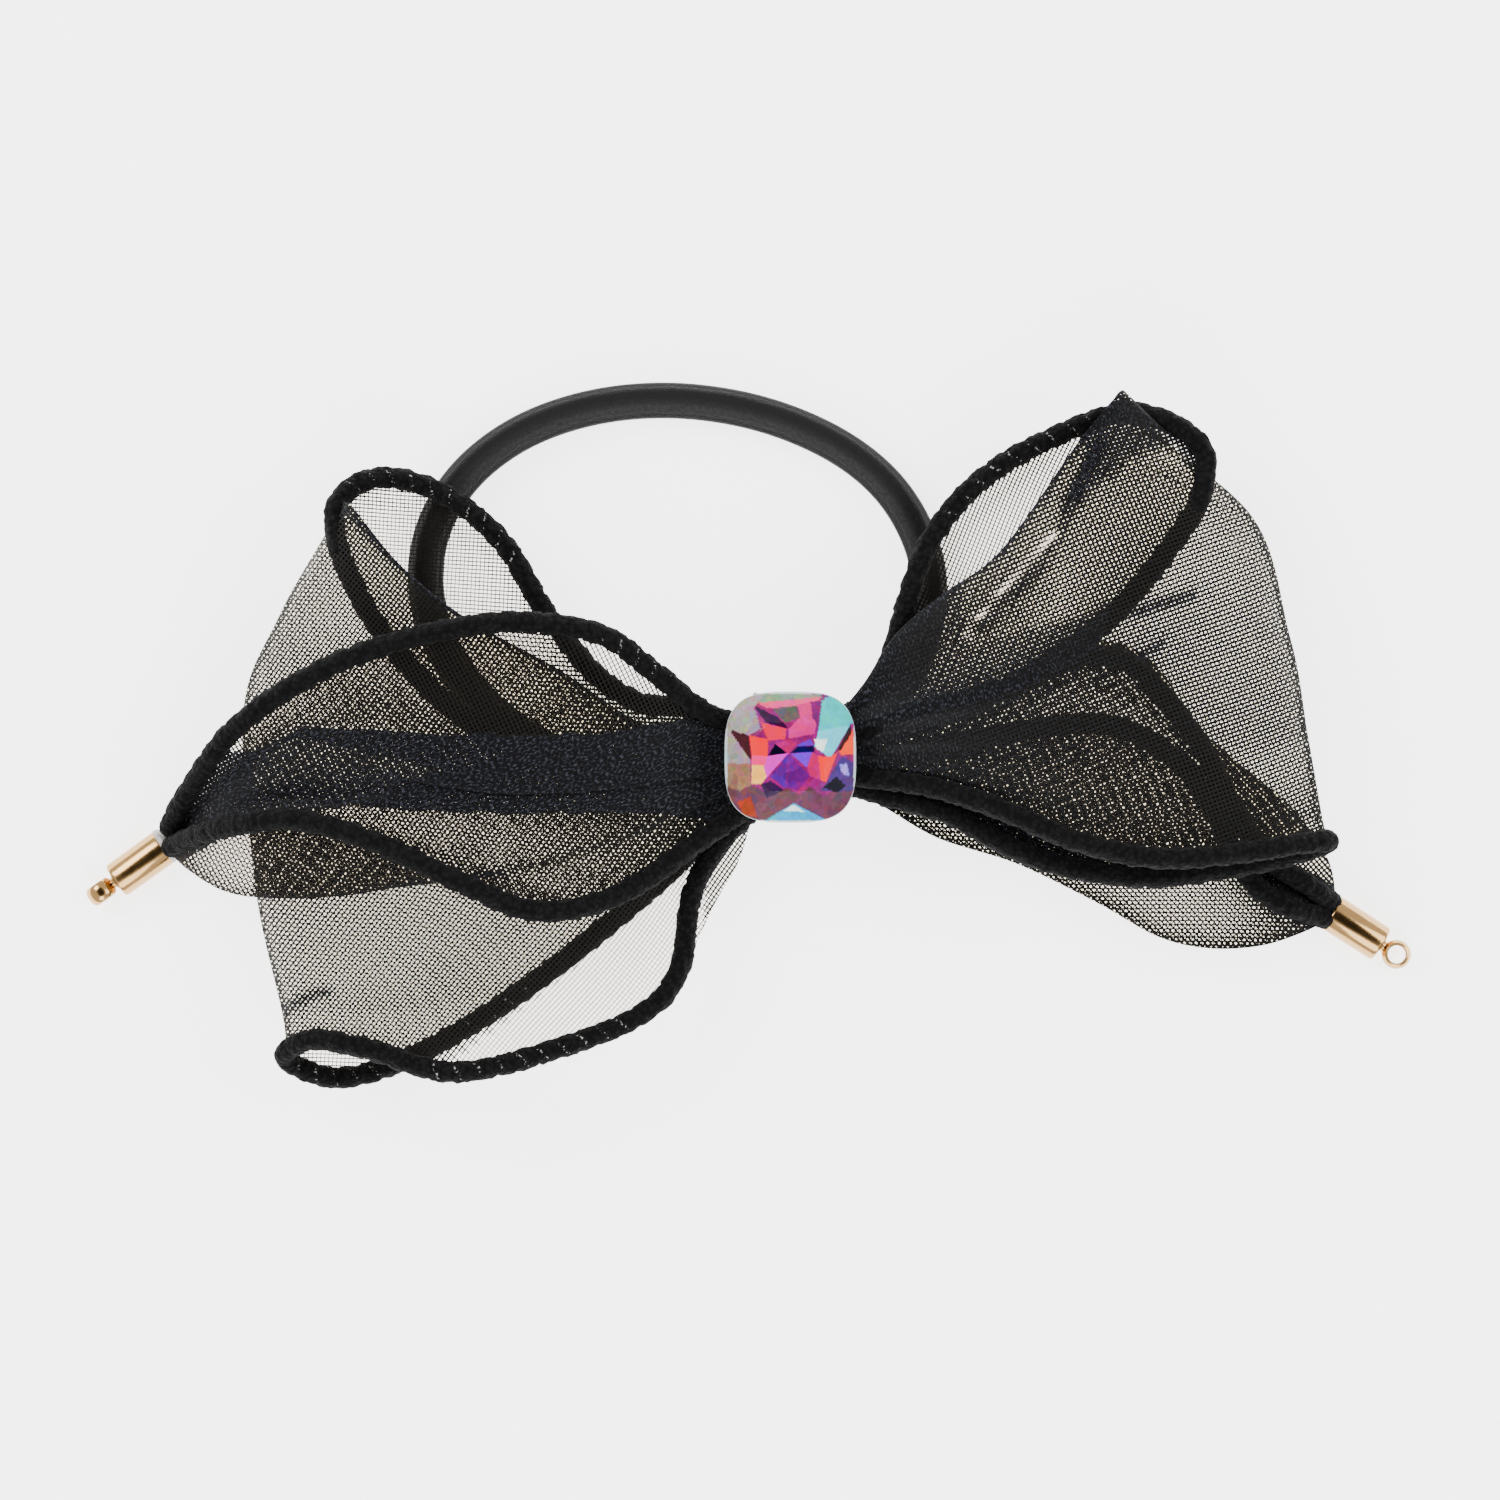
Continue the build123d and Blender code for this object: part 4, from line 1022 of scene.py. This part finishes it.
class HAIRBOW_OT_right_loop(Operator):
    """Loft the right loop and its corded edges"""

    bl_idname = "hairbow.right_loop"
    bl_label = "Right Loop"

    def execute(self, context):
        dress_ribbon(
            "right_loop", RIGHT_LOOP_RAILS, RIGHT_LOOP_SHARES, (RIGHT_LOOP_TOP, RIGHT_LOOP_BOTTOM),
            ("right_tail", "right_loop"), HINGE_OUT, (0.060, 0.115), stitched_top=((27, 45),), layers=(1.0, 2.3),
            bias=(-65, -20),
            pleats=(("front", SHADED_ROOT, 1.6), ("front", SHADED_TOP, 2.4), ("back", CORD_GAP, 8.0)),
            creases=(
                ("both", [(18.6, 13), (21, 15.9), (23.6, 18.9), (25.4, 21.1), (28.2, 23.8)], 0.3, 0.04),
                ("front", [(20, 13.6), (25.4, 18.8), (28.9, 24.1), (31, 29.6), (33.2, 33.9)], 0.4, 2.2),
                ("front", FRONT_FOLD_RIGHT, 0.35, 2.4),
                ("front", [(36.6, 15.4), (39.4, 16.3), (42.6, 17.2)], 0.45, 2.6),
                ("front", [(37.2, 10.8), (39.4, 12.1)], 0.35, 2.2),
            ),
        )
        return {"FINISHED"}


class HAIRBOW_OT_right_tail(Operator):
    """Loft the right tail and its corded edges"""

    bl_idname = "hairbow.right_tail"
    bl_label = "Right Tail"

    def execute(self, context):
        dress_ribbon(
            "right_tail", RIGHT_TAIL_RAILS, RIGHT_TAIL_SHARES, (RIGHT_TAIL_TOP, RIGHT_TAIL_BOTTOM),
            ("knot", "right_tail"), HINGE_OUT, (0.060, 0.062), layers=(1.4, 1.4), bias=(47, 2), turned=0.7,
            pleats=(("both", UPPER_TAIL_FOLD, 1.8), ("both", RIGHT_END, 7.0), ("both", RIGHT_STRIP, 0.95)),
        )
        return {"FINISHED"}


class HAIRBOW_OT_knot(Operator):
    """Fold the wrap and the gathers under the crystal"""

    bl_idname = "hairbow.knot"
    bl_label = "Knot"

    def execute(self, context):
        wrap = pleated_band("knot_wrap", *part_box("centre_wrap"), 3.0, 9.0, 0.07, 0.35)
        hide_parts("centre_wrap")
        gathers = pleated_band("knot_gathers", *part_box("gathered_centre"), 2.4, 2.0, 0.12, 0.5)
        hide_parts("gathered_centre")
        for name, material in (("binding_thread", packed_cloth()), ("stone_adhesive", cured_glue())):
            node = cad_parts[name]
            node.data.materials.clear()
            node.data.materials.append(material)
        return {"FINISHED"}


class HAIRBOW_OT_crystal(Operator):
    """Cut the cushion crystal and lay the coating's colours on its crown"""

    bl_idname = "hairbow.crystal"
    bl_label = "Crystal"

    def execute(self, context):
        low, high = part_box("crystal_stone")
        half = (high.x - low.x) / 2
        depth = high.z - low.z
        below = ((1.0, GIRDLE), (1.0, 0.31), (0.93, 0.12), (0.86, 0.0), (0.4, 0.0), (0.0, 0.0))
        bm = bmesh.new()
        paint = bm.verts.layers.float_color.new("painted_reflection_colour")
        bmesh.ops.create_grid(bm, x_segments=CROWN_RINGS + len(below), y_segments=208, size=0.5)
        for vert in bm.verts:
            ring = round((vert.co.x + 0.5) * (CROWN_RINGS + len(below)))
            turn = (vert.co.y + 0.5) * 2 * math.pi
            if ring <= CROWN_RINGS:
                x, y = squircle(turn, CROWN_SHARE * ring / CROWN_RINGS)
                slopes = [x * math.cos(way) + y * math.sin(way) for way in CUT_DIRECTIONS]
                falls = [
                    max(reach - (0.52 if step % 4 == 0 else 0.6 if step % 2 == 0 else 0.66), 0) * (1.1, 1.3)[step % 2]
                    for step, reach in enumerate(slopes)
                ]
                height = 1 - max(falls)
            else:
                reach, height = below[ring - CROWN_RINGS - 1]
                x, y = squircle(turn, reach)
            vert.co = (x * half, y * half, low.z + depth * max(height, 0.0))
        close_seams(bm)
        for vert in bm.verts:
            place = vert.co / half
            # Each point takes the painted reflection colour of the last patch it lies in.
            code = "#b44a98"
            for tone, patch in PAINTED_REFLECTIONS:
                if inside(place, patch):
                    code = tone
            if max(abs(place.x), abs(place.y)) > CLEAR_RIM or vert.co.z < low.z + depth * GIRDLE:
                code = "#dfe4e8"
            vert[paint] = linear(code)
        made = new_object("crystal_cut", bm, coated_crystal())
        made.data.materials.append(clear_rim())
        for face in made.data.polygons:
            face.use_smooth = False
            face.material_index = int(face.normal.z < 0.2)
        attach(made, "knot")
        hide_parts("crystal_stone")
        return {"FINISHED"}


class HAIRBOW_OT_end_caps(Operator):
    """Draw the metal caps, with their eyelets, glue beads and gathered ribbon ends"""

    bl_idname = "hairbow.end_caps"
    bl_label = "End Caps"

    def execute(self, context):
        for side, (place, heading) in CAPS.items():
            mouth = Vector((*place, CAP_HEIGHT)) * MM
            along = Vector((*heading, 0)).normalized()
            body = f"{side}_cap"
            shell = spun_profile(
                f"{side}_cap_shell",
                [(4.6, 0), (4.6, 1.62), (0.1, 1.64), (0.0, 1.72), (0.0, 1.92), (0.1, 2.0), (0.3, 2.02), (6.0, 2.0),
                 (6.28, 1.9), (6.4, 1.65), (6.4, 0)],
                mouth, along, plated_metal(), steps=72,
            )
            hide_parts(f"{side}_end_cap")
            squeezed = 2.08 if side == "left" else 1.62
            bead = spun_profile(
                f"{side}_glue_bead",
                [(-0.9, 1.3), (-0.75, squeezed - 0.3), (-0.35, squeezed), (0.05, squeezed), (0.3, squeezed - 0.3),
                 (0.3, 1.2), (-0.6, 1.1), (-0.9, 1.3)],
                mouth, along, cured_glue(),
            )
            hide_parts(f"{side}_cap_glue")
            eye = mouth + along * 8.3 * MM
            hole_axis = Vector((0, 0, 1)) if side == "right" else Vector((-along.y, along.x, 0))
            ring = spun_profile(
                f"{side}_eyelet_ring",
                [(-0.95, 0.98), (-1.04, 1.1), (-0.98, 1.28), (-0.7, 1.48), (-0.3, 1.58), (0.3, 1.58), (0.7, 1.48),
                 (0.98, 1.28), (1.04, 1.1), (0.95, 0.98), (0, 0.95), (-0.95, 0.98)],
                eye, hole_axis, plated_metal(), steps=48,
            )
            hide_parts(f"{side}_cap_eyelet")
            neck = spun_profile(
                f"{side}_eyelet_neck",
                [(6.1, 0), (6.2, 0.8), (6.5, 0.72), (6.75, 0.58), (7.1, 0.6), (7.2, 0)],
                mouth, along, plated_metal(), steps=24,
            )
            gathered = spun_profile(
                f"{side}_gathered_end",
                [(-2.6, 0), (-2.5, 0.7), (-1.8, 1.35), (-0.8, 1.5), (0.5, 1.45), (2.8, 1.3), (3.0, 0)],
                mouth, along, packed_cloth(),
            )
            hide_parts(f"{side}_tail_end")
            for made in (shell, bead, ring, neck, gathered):
                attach(made, body)
        return {"FINISHED"}


class HAIRBOW_OT_stage(Operator):
    """Lay the floor, hang the lights and aim the camera"""

    bl_idname = "hairbow.stage"
    bl_label = "Stage"

    def execute(self, context):
        settings = context.scene.hairbow_stage
        bm = bmesh.new()
        bmesh.ops.create_grid(bm, x_segments=1, y_segments=1, size=3.0)
        new_object("floor", bm, plain_floor())
        middle = Vector((-4.3 * MM, 0.75 * MM, 0))
        lens = bpy.data.cameras.new("view")
        lens.sensor_width = 36
        lens.lens = 36 * (settings.camera_height - 0.01) / settings.view_width
        lens.clip_start = 0.01
        camera = bpy.data.objects.new("view", lens)
        camera.location = middle + Vector((0, 0, settings.camera_height))
        context.scene.collection.objects.link(camera)
        context.scene.camera = camera
        lamps = (("soft_left", (-0.6, 0.4, 0.7), 0.5, 7.0), ("soft_right", (0.65, 0.1, 0.6), 0.5, 4.0),
                 ("soft_near", (0.0, -0.7, 0.6), 0.5, 4.0))
        for name, place, size, power in lamps:
            lamp = bpy.data.lights.new(name, "AREA")
            lamp.size = size
            lamp.energy = power
            holder = bpy.data.objects.new(name, lamp)
            holder.location = place
            holder.rotation_euler = (-Vector(place)).to_track_quat("-Z", "Y").to_euler()
            context.scene.collection.objects.link(holder)
        context.scene.world = studio_world()
        return {"FINISHED"}


OPERATORS = (
    HAIRBOW_OT_stage,
    HAIRBOW_OT_elastic,
    HAIRBOW_OT_left_loop,
    HAIRBOW_OT_left_tail,
    HAIRBOW_OT_right_tail,
    HAIRBOW_OT_right_loop,
    HAIRBOW_OT_knot,
    HAIRBOW_OT_crystal,
    HAIRBOW_OT_end_caps,
)


class HAIRBOW_PT_panel(Panel):
    """Lists the bow's sizes, colours and pieces."""

    bl_label = "Hair Bow"
    bl_idname = "HAIRBOW_PT_panel"
    bl_space_type = "VIEW_3D"
    bl_region_type = "UI"
    bl_category = "Hair Bow"

    def draw(self, context):
        for name, group in GROUPS.items():
            box = self.layout.box()
            for prop in group.__annotations__:
                box.prop(getattr(context.scene, name), prop)
        for operator in OPERATORS:
            self.layout.operator(operator.bl_idname)


CLASSES = (*GROUPS.values(), *OPERATORS, HAIRBOW_PT_panel)


def register():
    for cls in CLASSES:
        bpy.utils.register_class(cls)
    for name, group in GROUPS.items():
        setattr(bpy.types.Scene, name, PointerProperty(type=group))


def unregister():
    for name in GROUPS:
        delattr(bpy.types.Scene, name)
    for cls in reversed(CLASSES):
        bpy.utils.unregister_class(cls)


def main():
    """Build every piece in order and write the two boxes."""
    register()
    for operator in OPERATORS:
        group, name = operator.bl_idname.split(".")
        getattr(getattr(bpy.ops, group), name)()


if __name__ == "__main__":
    main()
